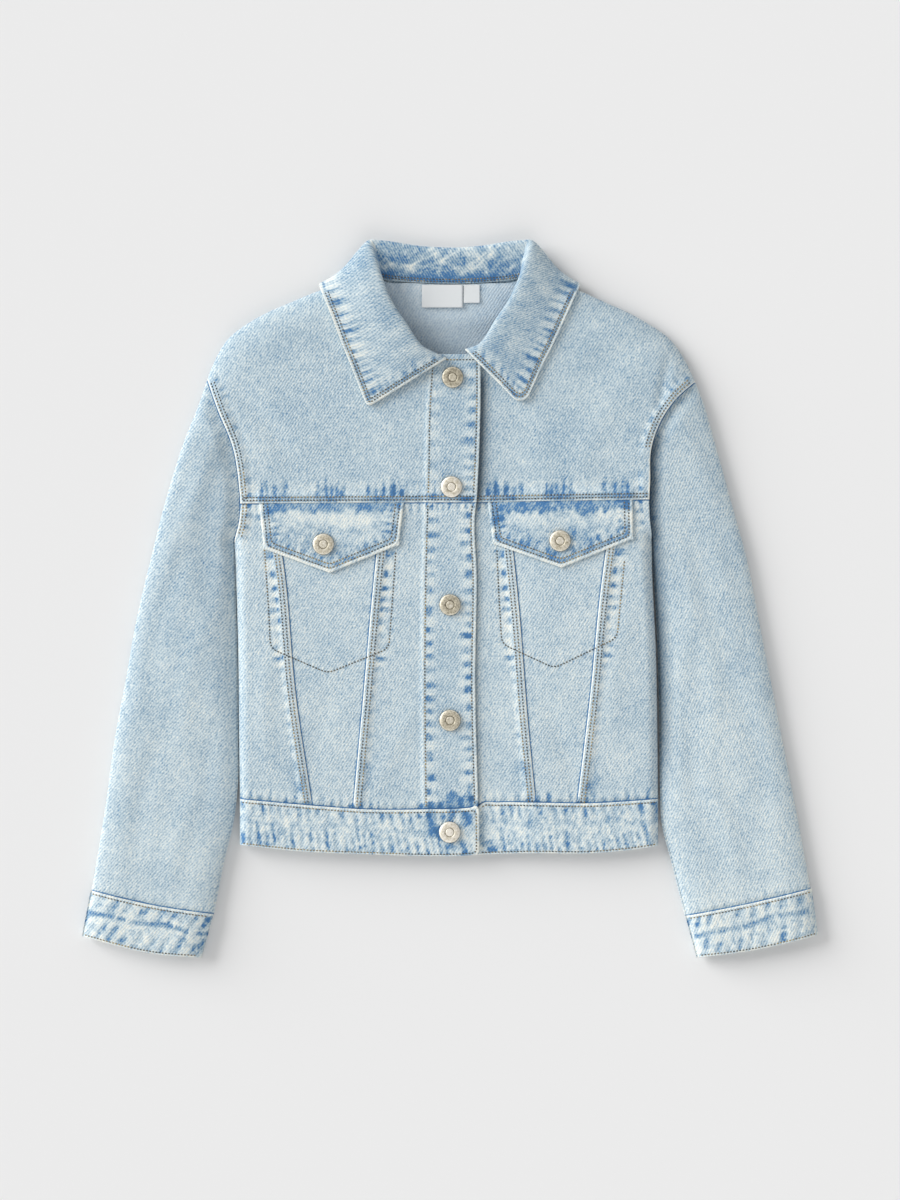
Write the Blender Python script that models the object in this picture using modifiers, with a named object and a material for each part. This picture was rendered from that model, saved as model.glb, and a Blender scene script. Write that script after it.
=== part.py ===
"""Denim jacket for a child of about 128 cm, buttoned up and laid flat on its back.

Frame: metres, +Z up. The back rests on z = 0, +Y points to the collar, and the wearer's right side lies
towards -X. The origin is the middle of the jacket's footprint.

The tables give plan positions in millimetres. In the tables of one half, x is counted from the centre
outwards. Heights come from two fields: the upper face of the front and the lower face of the back, which
roll towards each other at every folded edge. Each panel is a patch between four plan curves laid on one
of the fields, and Solidify gives it the wall of its cloth.
"""

import bmesh
import bpy
import numpy as np
from mathutils import Vector

MM = 0.001

# Cloth (mm)
DENIM = 1.2  # a single layer
BAND = 2.4  # doubled layers: waistband and cuffs
FLAP = 2.0  # doubled layer of the pocket flaps
COLLAR = 2.2  # doubled layer of the collar
POCKETING = 1.0  # pocket bags
LABEL = 1.0  # woven labels

# Gaps (mm)
SEAM_INSET = 0.2  # each panel stops this far from its seam line
LAY_GAP = 0.3  # between a layer and what it lies on
FLAP_GAP = 0.5

# Heights above the surface (mm)
CHEST_LOFT = 17.0  # front face over the chest
HEM_LOFT = 13.5  # front face at the waistband's lower edge
SLEEVE_LOFT = 14.5  # upper face of the sleeves
FOLD = 7.0  # middle of every folded edge
LIP = 1.2  # the fold stands upright this far above and below its middle
RIM_GAP = 0.3  # front and back each stop this far from the fold's middle
FRONT_ROLL = 26.0  # distance over which the front rolls down to a fold
BACK_ROLL = 12.0  # the same for the back
FOLD_REACH = 0.4  # points this close to a fold line count as on it
SEAM_STRIP = 0.3  # where a fold's rim runs on along a seam, its strip takes this share of the first column
COLLAR_LIFT = 3.4  # rise of the back over the collar's fall
LIFT_FROM, LIFT_TO = 222.0, 242.0  # the rise grows between these levels, y
LIFT_HALF_WIDTH, LIFT_FADE = 126.0, 22.0  # and it ends this far from the middle, over this width
LOWER_FROM, LOWER_TO = -60.0, -210.0  # the chest's loft falls to the hem's between these levels, y
SLEEVE_FROM, SLEEVE_TO = 150.0, 220.0  # the loft changes to the sleeves' between these distances, x

# Layers at the centre front (mm)
BAND_PROUD = 0.8  # doubled bands stand this far above the panels
PLACKET = 2 * DENIM + LAY_GAP  # the yoke or panel with its facing turned under it
UNDER_DROP = PLACKET + LAY_GAP - BAND_PROUD  # the under side's face, below the front's face
DROP_FADE = 60.0  # width over which the under side comes back up

SIDES = (("right", -1), ("left", 1))  # the wearer's sides and their direction along X

# Plan curves of each half: x outwards, y towards the neck (mm)
HALVES = {
    "right": {
        "shoulder": ((66, 277), (110, 263), (132, 254), (168, 237), (190, 220), (200, 203), (206.7, 187)),
        "sleeve_outer": ((206.7, 187), (212.5, 169), (226, 135), (242, 84), (255, 33), (267, -18),
                         (276, -69), (285.6, -120), (292.5, -171), (305, -248)),
        "sleeve_inner": ((183.6, 48.5), (183.6, 25), (181.9, -45), (181.2, -117), (181.4, -155),
                         (184.5, -185), (193, -222), (202, -268)),
        "cuff_end": ((312.5, -287), (251.6, -301.5), (212, -305)),
        "cuff_seam": ((305, -248), (251.6, -260.3), (202, -268)),
        "armhole": ((206.7, 187), (197, 160), (184.5, 129), (179, 95), (178, 81), (179, 65.5), (183.6, 48.5)),
        "side": ((183.6, 48.5), (182.4, 19), (180.5, -45), (179.8, -117), (179, -170)),
        "outer_seam": ((149, 81.2), (139.4, 14.5), (131.5, -76.5), (117, -175.5)),
        "inner_seam": ((58, 81.7), (66.5, -3), (73, -76.5), (82.5, -178.2)),
        "front_edge": ((14, 205), (17, 161), (18, 110), (20.4, 26), (21.4, -57), (20.4, -178.5)),
        "neckline": ((66, 277), (62, 256), (50, 232), (32, 213), (14, 205)),
        "flap_top": ((162, 80.6), (39, 80.6)),
        "flap_tip": ((158, 42.5), (102, 22), (43.4, 46)),
        "pocket_top": ((156, 78), (44, 78)),
        "pocket_tip": ((151, -42), (103.7, -62), (53, -42)),
    },
    "left": {
        "shoulder": ((66, 277), (109, 263), (129, 254), (164, 237), (188, 220), (200, 203), (208.7, 185)),
        "sleeve_outer": ((208.7, 185), (215, 169), (225, 135), (239, 84), (253, 33), (263, -18),
                         (273, -69), (283, -120), (293, -171), (307, -246.5)),
        "sleeve_inner": ((171.8, 52), (173.8, 25), (177.6, -45), (179.2, -117), (179.8, -165),
                         (181, -190), (189, -222), (201, -269.5)),
        "cuff_end": ((312.5, -286), (260.7, -298), (210.6, -305)),
        "cuff_seam": ((307, -246.5), (256, -258.5), (201, -269.5)),
        "armhole": ((208.7, 185), (192, 170), (179, 151), (171, 128), (170, 100), (169.3, 84.5), (169.8, 68),
                    (171.8, 52)),
        "side": ((171.8, 52), (172.5, 19), (175.5, -45), (176.8, -117), (177.2, -170)),
        "outer_seam": ((138, 83.9), (126.7, -3), (119.6, -76.5), (108, -173.8)),
        "inner_seam": ((49, 82.2), (58.7, -9), (66, -102.5), (73, -174)),
        "front_edge": ((20, 207), (19.5, 82), (19, -175.8)),
        "neckline": ((66, 277), (62, 256), (50, 233), (34, 214), (20, 207)),
        "flap_top": ((155, 83.3), (32, 81)),
        "flap_tip": ((155.4, 51.2), (94.4, 26.4), (36.6, 46.8)),
        "pocket_top": ((148, 79), (38, 79)),
        "pocket_tip": ((141, -33), (88.4, -58), (44.5, -38)),
    },
}

# Curves across the whole front, x to the wearer's left (mm)
WAIST_SEAM = ((-179, -170), (-117, -175.5), (-69, -178.8), (-21, -178.5), (24, -175.7), (72, -174),
              (117, -173.8), (177.2, -170))
HEM = ((-179, -209), (-127, -214.5), (-69, -217), (2, -218.5), (24, -217.5), (70, -216), (117, -216.2),
       (150, -213.6), (177.2, -209.8))
BACK_NECK = ((-66, 277), (-58, 271.5), (-30, 269.2), (0, 268), (30, 269), (58, 271.5), (66, 277))
PLACKET_SEAM = ((-14, 205), (-17, 161), (-18, 110), (-20.4, 26), (-21.4, -57), (-20.4, -178.5))
PLACKET_EDGE = ((26, 205), (25.8, 161), (22, 103), (22.7, 19), (21.5, -69), (24, -175.7))
OVER_END = 25.0  # the waistband's over end, x
UNDER_END = -19.0  # its under end, x
BAND_CORNER = 1.5  # its corners are rounded off by this much
YOKE_LEVEL = 82.0  # where the yoke seam meets the centre front, y
YOKE_AT_ARMHOLE = {"right": 81.0, "left": 84.5}  # and where it meets the armhole
FLAP_COLUMNS = 4  # on each side of the point
POCKET_ROWS = (0, 0.35, 0.7, 1)

# Columns of the waistband: on its folds, and inside the folds' rolls in front and behind (mm)
TO_BAND_FOLD = (13, 5, 1.5, 0)
IN_FRONT, BEHIND = 26.0, 45.0
BAND_STEP = 2.0  # first column from the over end
BAND_MIDDLE = -15.0  # last column of the over side's even ones, x
UNDER_MIDDLE = 0.0  # column of the under end, x

# Where the rows and columns of the panels lie, as fractions of an edge
BOTH_FOLDS = (0, 0.02, 0.07, 0.16, 0.35, 0.65, 0.84, 0.93, 0.98, 1)
UNDER_FOLDS = (0, 0.02, 0.06, 0.13, 0.5, 0.87, 0.94, 0.98, 1)
ARMHOLE_YOKE = (0, 0.02, 0.045, 0.13, 0.28, 0.5, 0.74, 1)  # tip of the shoulder to the yoke seam
YOKE_COLUMNS = (0, 0.1, 0.3, 0.55, 0.8, 1)  # armhole to the centre front
NECKLINE_ROWS = (0, 0.07, 0.25, 0.5, 0.75, 1)  # neck point of the shoulder to the centre front
CENTRE_ROWS = (0, 0.45, 1)  # neckline down to the yoke seam, along the placket
# Front panels under the yoke: name, outer edge, inner edge and columns between them
FRONT_PANELS = (
    ("front_side_panel", "side", "outer", (0, 0.05, 0.16, 0.38, 0.7, 1)),
    ("front_middle_panel", "outer", "inner", (0, 0.35, 0.7, 1)),
    ("front_centre_panel", "inner", "centre", (0, 0.5, 1)),
)
BACK_SHOULDER = (0, 0.012, 0.045, 0.11, 0.35, 0.68, 1)  # tip of the shoulder to the neck point
BACK_NECKLINE = (0, 0.09, 0.3, 0.5, 0.7, 0.91, 1)  # across the back of the neck
CUFF_ROWS = (0, 0.5, 1)
BAND_ROWS = (0, 0.1, 0.5, 0.9, 1)
UNDER_SHIFT = 2.0  # the under placket's front edge lies this far inside the over placket's stitches (mm)
ARMHOLE_SIDE = (0, 0.5, 0.82, 1)  # yoke seam to the underarm
SIDE_ROWS = (0, 0.12, 0.3, 0.52, 0.75, 1)  # underarm to the waist seam
TIP_ROW = 2  # the sleeves start at this row of the armhole, where their point is wide enough for two walls
SLEEVE_ROWS = (0, 0.08, 0.22, 0.4, 0.58, 0.78, 1)  # underarm to the cuff

# Collar stations from the right front end round the back to the left front end (mm). The seam is where
# the stand is sewn to the neckline, the roll is its folded edge and the edge is the fall's free edge.
# turn is the slope of the cloth at the roll: 90 rolls over the front, 0 outwards, -90 under the back.
COLLAR_COLUMNS = ("seam_x", "seam_y", "seam_z", "roll_x", "roll_y", "roll_z", "edge_x", "edge_y", "edge_z",
                  "turn")
COLLAR_STATIONS = (
    (-7, 207.5, 17, -4.5, 206.5, 19.5, -70, 162, 19.5, 90),
    (-17, 208, 17, -14, 208.5, 21, -76, 177, 19.5, 90),
    (-30, 214.5, 16.5, -24, 214, 22.5, -83, 195, 19, 90),
    (-47.2, 234.5, 16, -38, 234, 24, -92, 217, 19, 90),
    (-58.5, 256.5, 14, -51, 254, 24, -101, 241, 18, 90),
    (-61.5, 270, 10, -58, 272, 23, -108, 258, 13, 85),
    (-62.5, 274.5, 8, -63, 288, 20, -111, 267.5, 7, 50),
    (-61.5, 274.5, 6.5, -68, 303.6, 14.5, -104, 262.5, 1.4, 0),
    (-59, 273.4, 5.6, -61, 304.0, 12.5, -93, 258.5, 1.15, -35),
    (-54, 272, 4.8, -50, 303, 11, -76, 252, 1.15, -65),
    (-29, 269.7, 4.2, -26, 299.5, 9, -38, 247.5, 1.15, -90),
    (0, 268.6, 4.2, 0, 298, 8.5, 0, 246, 1.15, -90),
    (29, 269.6, 4.2, 26, 299.5, 9, 38, 247.5, 1.15, -90),
    (54, 272, 4.8, 50, 303, 11, 76, 252, 1.15, -65),
    (59, 273.4, 5.6, 62, 304.0, 12.5, 93, 258.5, 1.15, -35),
    (61.5, 274.5, 6.5, 68.5, 303.6, 14.5, 104, 262.5, 1.4, 0),
    (62.5, 274.5, 8, 64, 288, 20, 110.5, 267.5, 7, 50),
    (62, 270, 10, 59, 272, 23, 106.5, 257.5, 13, 85),
    (58.5, 256, 14, 51, 254, 24, 99, 241, 18, 90),
    (47.5, 235, 16, 39, 236, 24, 88, 217, 19, 90),
    (32, 216, 16.5, 27, 217, 22.5, 77, 195, 19, 90),
    (23, 210.5, 17, 20, 213, 21.5, 69, 177, 19.5, 90),
    (15, 209, 17, 13, 211, 20.5, 62, 162, 19.5, 90),
)
LEAF_REST = 2.1  # middle of the fall above what it lies on (mm)
PLACKET_REACH = 30.0  # the fall clears the placket as far as this from the middle, x
OVER_FRONT = 0.99  # stations whose turn has at least this sine lie on the front
ROLL_HANDLE = 6.5  # reach of the curve on each side of the roll (mm)
STAND_HANDLE = 0.35  # reach of the curve at the seam, as a share of the way to the roll
FALL_HANDLE = 0.5  # reach at the free edge, as a share of the way to the roll
FALL_CROWN = 0.6  # rise over that reach in front, as a share of the roll's height over the edge
STAND_STEPS = (0.25, 0.55, 0.8, 1)
FALL_STEPS = (0.1, 0.25, 0.45, 0.7, 1)

# Shank buttons
BUTTON_STEPS = 16
FRONT_BUTTONS = ((2.2, 188), (1.2, 95), (0, -5), (0, -103), (-0.3, -198))
FLAP_BUTTONS = {"right": (-107.4, 46.4), "left": (93.3, 49.3)}
# Half section of a button, down its outer side from the middle of its face: radius, height (mm)
BUTTON_PROFILE = ((0, 3.3), (2.1, 3.3), (2.7, 3.6), (3.3, 3.2), (6.6, 3.2), (7.5, 3.7), (8.4, 3.6), (9.0, 2.9),
                  (8.8, 2.0), (4.5, 1.3), (4.3, 0), (0, 0))

# Labels at the back of the neck: sides, upper edge and hanging length (mm)
LABELS = {
    "neck_label": {"right": -24, "left": 11, "top": 267.6, "drop": 19.5},
    "size_label": {"right": 11.6, "left": 25.4, "top": 267.6, "drop": 15.5},
}

# Materials: colour, roughness, metallic
MATERIALS = {
    "washed_denim": ((0.50, 0.60, 0.67), 0.9, 0.0),
    "band_denim": ((0.52, 0.63, 0.71), 0.9, 0.0),
    "pocketing": ((0.80, 0.80, 0.78), 0.9, 0.0),
    "button_metal": ((0.62, 0.58, 0.53), 0.35, 1.0),
    "label_satin": ((0.80, 0.82, 0.84), 0.6, 0.0),
}


def clear_scene():
    for item in list(bpy.data.objects):
        bpy.data.objects.remove(item, do_unlink=True)


def make_materials():
    """One Principled material for each finish."""
    made = {}
    for name, (colour, roughness, metallic) in MATERIALS.items():
        material = bpy.data.materials.new(name)
        material.use_nodes = True
        shader = material.node_tree.nodes["Principled BSDF"]
        shader.inputs["Base Color"].default_value = (*colour, 1)
        shader.inputs["Roughness"].default_value = roughness
        shader.inputs["Metallic"].default_value = metallic
        made[name] = material
    return made


# --- curves -----------------------------------------------------------------------------------------


def smooth_curve(points, steps=8):
    """Smooth curve through the points: Hermite spans with the slopes of the points around each end."""
    points = np.array(points, float)
    if len(points) == 2:
        return points
    reach = np.concatenate(([0], np.cumsum(np.linalg.norm(np.diff(points, axis=0), axis=1))))
    slopes = np.gradient(points, reach, axis=0)
    t = np.linspace(0, 1, steps, endpoint=False)[:, None]
    spans = []
    for i, step in enumerate(np.diff(reach)):
        start, end = points[i], points[i + 1]
        spans.append((2 * t**3 - 3 * t**2 + 1) * start + (t**3 - 2 * t**2 + t) * step * slopes[i]
                     + (3 * t**2 - 2 * t**3) * end + (t**3 - t**2) * step * slopes[i + 1])
    return np.vstack(spans + [points[-1:]])


def length_along(curve):
    return np.concatenate(([0], np.cumsum(np.linalg.norm(np.diff(curve, axis=0), axis=1))))


def at_fractions(curve, fractions):
    """Points of a curve at fractions of its length."""
    along = length_along(curve)
    where = np.asarray(fractions) * along[-1]
    return np.stack([np.interp(where, along, curve[:, k]) for k in range(curve.shape[1])], axis=1)


def fraction_at(curve, axis, value):
    """Fraction of the curve's length at which its x or y passes a value."""
    along = length_along(curve) / length_along(curve)[-1]
    order = np.argsort(curve[:, axis])
    return float(np.interp(value, curve[order, axis], along[order]))


def cut(curve, start, end, steps=12):
    """Stretch of a curve between two fractions of its length."""
    return at_fractions(curve, np.linspace(start, end, steps))


def join(*stretches):
    """Stretches that follow each other, without the points they share."""
    return np.vstack([stretches[0]] + [stretch[1:] for stretch in stretches[1:]])


def half_curves(side, sign):
    """The smooth plan curves of one half, in the jacket's own x."""
    curves = {}
    for name, points in HALVES[side].items():
        cornered = name.endswith("_tip")
        curve = np.array(points, float) if cornered else smooth_curve(points)
        curves[name] = curve * (sign, 1)
    return curves


CURVES = {side: half_curves(side, sign) for side, sign in SIDES}
WAIST = smooth_curve(WAIST_SEAM)
HEM_LINE = smooth_curve(HEM)


# --- height fields ----------------------------------------------------------------------------------


def fold_lines():
    """Every folded edge: shoulders, outer and inner edges of the sleeves and cuffs, sides of the body."""
    lines = []
    for side, sign in SIDES:
        curves = CURVES[side]
        outer = join(curves["shoulder"], curves["sleeve_outer"], curves["cuff_end"][[0, 0]])
        inner = join(curves["sleeve_inner"], curves["cuff_end"][[-1, -1]])
        hem_corner = HEM_LINE[[0, 0]] if sign < 0 else HEM_LINE[[-1, -1]]
        lines += [outer, inner, join(curves["side"], hem_corner)]
    return lines


FOLDS = fold_lines()


def fold_distance(plan):
    """Distance in plan from each point to the nearest fold line."""
    nearest = np.full(plan.shape[:-1], np.inf)
    for line in FOLDS:
        start, run = line[:-1], np.diff(line, axis=0)
        offset = plan[..., None, :] - start
        span = np.maximum((run**2).sum(-1), 1e-9)
        t = np.clip((offset * run).sum(-1) / span, 0, 1)
        gap = np.linalg.norm(offset - t[..., None] * run, axis=-1).min(-1)
        nearest = np.minimum(nearest, gap)
    return nearest


def smooth_step(t):
    t = np.clip(t, 0, 1)
    return t * t * (3 - 2 * t)


def roll_up(distance, roll):
    """Quarter of an ellipse: 0 at the fold, 1 where the roll ends."""
    t = np.clip((distance - FOLD_REACH) / roll, 0, 1)
    return np.sqrt(1 - (1 - t) ** 2)


def front_height(plan):
    """Upper face of the front and the sleeves."""
    x, y = plan[..., 0], plan[..., 1]
    down = smooth_step((y - LOWER_FROM) / (LOWER_TO - LOWER_FROM))
    out = smooth_step((np.abs(x) - SLEEVE_FROM) / (SLEEVE_TO - SLEEVE_FROM))
    loft = CHEST_LOFT - (CHEST_LOFT - HEM_LOFT) * down
    loft = loft + (SLEEVE_LOFT - CHEST_LOFT) * out * (1 - down)
    edge = FOLD + LIP
    return edge + (loft - edge) * roll_up(fold_distance(plan), FRONT_ROLL)


def back_height(plan):
    """Lower face of the back and the sleeves, raised over the collar's fall at the back of the neck."""
    x, y = plan[..., 0], plan[..., 1]
    rise = COLLAR_LIFT * smooth_step((y - LIFT_FROM) / (LIFT_TO - LIFT_FROM))
    rise = rise * smooth_step((LIFT_HALF_WIDTH - np.abs(x)) / LIFT_FADE)
    edge = FOLD - LIP
    return rise + (edge - rise) * (1 - roll_up(fold_distance(plan), BACK_ROLL))


def drop_share(plan):
    """Share of the under side's drop: 1 as far as the over placket's edge, fading to 0 beyond it."""
    return 1 - smooth_step((plan[..., 0] - OVER_END) / DROP_FADE)


def under_drop(plan):
    """How far the wearer's left front lies below the height field."""
    return UNDER_DROP * drop_share(plan)


# --- patches ----------------------------------------------------------------------------------------


def patch(bottom, top, left, right):
    """Coons patch between four plan polylines, as rows from bottom to top and columns from left to right."""

    def shares(first, second):
        parts = [length_along(edge) for edge in (first, second)]
        parts = [part / part[-1] for part in parts if part[-1] > 0.01]
        return np.mean(parts, axis=0)

    u = shares(bottom, top)[None, :, None]
    v = shares(left, right)[:, None, None]
    across = (1 - u) * left[:, None] + u * right[:, None]
    along = (1 - v) * bottom[None] + v * top[None]
    corners = ((1 - u) * (1 - v) * bottom[0] + u * (1 - v) * bottom[-1] + (1 - u) * v * top[0]
               + u * v * top[-1])
    return across + along - corners


def inset(grid, *edges):
    """Moves the named edges of a grid inwards by the seam inset, square to themselves."""
    grid = grid.copy()
    turned = grid.swapaxes(0, 1)
    views = {"bottom": grid, "top": grid[::-1], "left": turned, "right": turned[::-1]}
    shifts = []
    for edge in edges:
        line, inner = views[edge][0], views[edge][1]
        run = np.gradient(line, axis=0)
        run /= np.maximum(np.linalg.norm(run, axis=1, keepdims=True), 1e-9)
        square = run[:, ::-1] * (-1, 1)
        facing = np.sign(((inner - line) * square).sum(1))
        facing = np.sign(np.median(facing[facing != 0]))
        shifts.append((views[edge][0], square * facing * SEAM_INSET))
    for line, shift in shifts:
        line += shift
    return grid


def raised(grid, field):
    """The plan grid with its heights, as x, y, z."""
    return np.concatenate((grid, field(grid)[..., None]), axis=-1)


def with_rim(points, edge, first=0, upper=True):
    """Adds the upright rim of a fold along one edge.

    Rows or columns before `first` belong to a seam instead. There the last strip stays on the surface.
    """
    turned = {"bottom": points, "top": points[::-1], "left": points.swapaxes(0, 1),
              "right": points.swapaxes(0, 1)[::-1]}[edge]
    rim = turned[0].copy()
    rim[:, 2] = FOLD + (RIM_GAP if upper else -RIM_GAP)
    line = turned[0].copy()
    if first:
        rim[:first] = turned[0][:first]
        toward = turned[1][:first] - turned[0][:first]
        line[:first] += SEAM_STRIP * toward
    turned = np.concatenate((rim[None], line[None], turned[1:]))
    if edge in ("top", "right"):
        turned = turned[::-1]
    return turned if edge in ("bottom", "top") else turned.swapaxes(0, 1)


def facing_up(sheet):
    return sum(face.normal.z * face.calc_area() for face in sheet.faces) > 0


def facing_out(sheet):
    """Whether the faces of a ring point away from its middle."""
    middle = sum((vert.co for vert in sheet.verts), start=Vector()) / len(sheet.verts)
    outward = (face.normal.dot(face.calc_center_median() - middle) * face.calc_area() for face in sheet.faces)
    return sum(outward) > 0


def cloth(name, points, wall, material, outside="up", offset=-1, closed=False):
    """A sheet through a grid of points in millimetres, given its wall by Solidify.

    The wall grows from the side named by `outside` (up, down, or out for a ring) to the other. With
    offset 0 it grows both ways. A closed sheet joins its last column to its first. Where a point is
    not a number, the sheet is cut away.
    """
    rows, columns = points.shape[:2]
    sheet = bmesh.new()
    corners = [[None if np.isnan(point).any() else sheet.verts.new(point * MM) for point in row]
               for row in points]
    spans = columns if closed else columns - 1
    for i in range(rows - 1):
        for j in range(spans):
            k = (j + 1) % columns
            square = (corners[i][j], corners[i][k], corners[i + 1][k], corners[i + 1][j])
            if None not in square:
                sheet.faces.new(square)
    bmesh.ops.remove_doubles(sheet, verts=sheet.verts[:], dist=1e-6)
    bmesh.ops.dissolve_degenerate(sheet, edges=sheet.edges[:], dist=1e-7)
    sheet.normal_update()
    right_way = {"up": facing_up(sheet), "down": not facing_up(sheet), "out": facing_out(sheet)}[outside]
    if not right_way:
        bmesh.ops.reverse_faces(sheet, faces=sheet.faces[:])
    mesh = bpy.data.meshes.new(name)
    sheet.to_mesh(mesh)
    sheet.free()
    mesh.shade_smooth()
    item = bpy.data.objects.new(name, mesh)
    JACKET.objects.link(item)
    item.data.materials.append(material)
    solid = item.modifiers.new("wall", "SOLIDIFY")
    solid.thickness = wall * MM
    solid.offset = offset
    return item


# --- the pieces -------------------------------------------------------------------------------------


def body_edge(side):
    """Rows down the outer edge of the body: armhole of the yoke, armhole below it, and side fold."""
    curves = CURVES[side]
    armhole = curves["armhole"]
    seam = fraction_at(armhole, 1, YOKE_AT_ARMHOLE[side])
    above = at_fractions(cut(armhole, 0, seam, 40), ARMHOLE_YOKE)
    below = at_fractions(cut(armhole, seam, 1, 20), ARMHOLE_SIDE)
    side_fold = at_fractions(curves["side"], SIDE_ROWS)
    return above, below, side_fold


def front_face(side):
    """Height field of the front's outer face: the wearer's left lies under the right at the centre."""
    if side == "right":
        return front_height
    return lambda plan: front_height(plan) - under_drop(plan)


def with_placket(points, line, side):
    """Carries a panel on from its placket line to the front edge, and turns its facing back under it.

    The line's rows run up from the first. Rows above them belong to the neckline, and get no placket.
    """
    rows = len(line)
    edge = smooth_curve(PLACKET_EDGE) if side == "right" else smooth_curve(PLACKET_SEAM) + (UNDER_SHIFT, 0)
    edge = edge[::-1]
    bottom = line[0, 1]
    if bottom < 0:
        bottom = np.interp(edge[0, 0], WAIST[:, 0], WAIST[:, 1]) + SEAM_INSET
    share = (line[:, 1] - line[0, 1]) / (line[-1, 1] - line[0, 1])
    y = bottom + share * (line[-1, 1] - bottom)
    front = np.stack((np.interp(y, edge[:, 1], edge[:, 0]), y), axis=1)
    plan = np.stack((line, (line + front) / 2, front), axis=1)
    over = raised(plan, front_face(side))
    if side == "right":
        over[..., 2] += BAND_PROUD
    under = over[:, ::-1] - (0, 0, PLACKET)
    points[:rows, -1] = over[:, 0]
    placket = np.full((len(points), 5, 3), np.nan)
    placket[:rows] = np.concatenate((over[:, 1:], under), axis=1)
    return np.concatenate((points, placket), axis=1)


def on_waist(points, columns):
    """Points on the waist seam at these fractions between the first and the last point's x."""
    x = points[0][0] + (points[1][0] - points[0][0]) * np.array(columns)
    return np.stack((x, np.interp(x, WAIST[:, 0], WAIST[:, 1])), axis=1)


def make_yoke(side, material):
    """Front yoke: armhole, shoulder fold, neckline and placket, down to the yoke seam."""
    curves = CURVES[side]
    armhole = body_edge(side)[0]
    centre = cut(curves["front_edge"], 0, fraction_at(curves["front_edge"], 1, YOKE_LEVEL))
    inner = join(at_fractions(curves["neckline"], NECKLINE_ROWS), at_fractions(centre, CENTRE_ROWS))
    bottom = at_fractions(np.array((armhole[-1], inner[-1])), YOKE_COLUMNS)
    top = at_fractions(curves["shoulder"][::-1], YOKE_COLUMNS)
    grid = inset(patch(bottom, top, armhole[::-1], inner[::-1]), "bottom", "left", "right")
    points = with_placket(raised(grid, front_face(side)), grid[:len(CENTRE_ROWS), -1], side)
    points = with_rim(points, "top")
    cloth(f"front_yoke_{side}", points, DENIM, material)


def make_front_panels(side, material):
    """The three panels between the yoke and the waistband, joined by the two V seams."""
    curves = CURVES[side]
    _, below, side_fold = body_edge(side)
    outer = join(below, side_fold)
    shares = length_along(outer) / length_along(outer)[-1]
    front = curves["front_edge"]
    edges = {
        "side": outer,
        "outer": at_fractions(curves["outer_seam"], shares),
        "inner": at_fractions(curves["inner_seam"], shares),
        "centre": at_fractions(cut(front, fraction_at(front, 1, YOKE_LEVEL), 1), shares),
    }
    for name, first, second, columns in FRONT_PANELS:
        left, right = edges[first][::-1], edges[second][::-1]
        top = at_fractions(np.array((left[-1], right[-1])), columns)
        bottom = on_waist((left[0], right[0]), columns)
        bottom[0], bottom[-1] = left[0], right[0]
        grid = inset(patch(bottom, top, left, right), "bottom", "top", "left", "right")
        points = raised(grid, front_face(side))
        if first == "side":
            points = with_rim(points[::-1], "left", first=len(below) - 1)
        if second == "centre":
            points = with_placket(points, grid[:, -1], side)
        cloth(f"{name}_{side}", points, DENIM, material)


def make_back(material):
    """Back panel: one piece from the shoulders to the waist seam, its upper edge cut out for the neck."""
    edges = {side: join(*body_edge(side)) for side, _ in SIDES}
    seam_rows = len(ARMHOLE_YOKE) + len(ARMHOLE_SIDE) - 2
    right = at_fractions(CURVES["right"]["shoulder"][::-1], BACK_SHOULDER)
    left = at_fractions(CURVES["left"]["shoulder"][::-1], BACK_SHOULDER)[::-1]
    neck = at_fractions(smooth_curve(BACK_NECK), BACK_NECKLINE)
    top = join(right, neck, left)
    bottom = on_waist((edges["right"][-1], edges["left"][-1]), (top[:, 0] - top[0, 0]) / np.ptp(top[:, 0]))
    grid = patch(bottom, top, edges["right"][::-1], edges["left"][::-1])
    points = raised(inset(grid, "bottom", "left", "right"), back_height)[::-1]
    points = with_rim(points, "left", first=seam_rows, upper=False)
    points = with_rim(points, "right", first=seam_rows, upper=False)
    # The shoulders end in a fold. The neckline between them is a cut edge.
    neck_columns = slice(len(right), len(right) + len(neck))
    rim = points[0].copy()
    rim[:, 2] = FOLD - RIM_GAP
    rim[neck_columns] = points[0][neck_columns]
    points[0][neck_columns] += SEAM_STRIP * (points[1] - points[0])[neck_columns]
    cloth("back_panel", np.concatenate((rim[None], points)), DENIM, material, outside="down")


def make_sleeve(side, material):
    """Top sleeve and under sleeve, from the armhole seam to the cuff, joined along both folds."""
    curves = CURVES[side]
    above, below, _ = body_edge(side)
    seam = join(above, below)
    inner = join(seam, at_fractions(curves["sleeve_inner"], SLEEVE_ROWS))
    outer = at_fractions(curves["sleeve_outer"], length_along(inner) / length_along(inner)[-1])
    for name, columns, field, upper in (("top_sleeve", BOTH_FOLDS, front_height, True),
                                        ("under_sleeve", UNDER_FOLDS, back_height, False)):
        cuff = at_fractions(curves["cuff_seam"], columns)
        tip = at_fractions(np.array((outer[TIP_ROW], inner[TIP_ROW])), columns)
        grid = patch(cuff, tip, outer[TIP_ROW:][::-1], inner[TIP_ROW:][::-1])
        grid = inset(grid, "bottom", "right")
        points = raised(grid, field)[::-1]
        points = with_rim(points, "right", first=len(seam) - 1 - TIP_ROW, upper=upper)
        points = with_rim(points, "left", upper=upper)
        cloth(f"{name}_{side}", points, DENIM, material, outside="up" if upper else "down")


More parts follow.
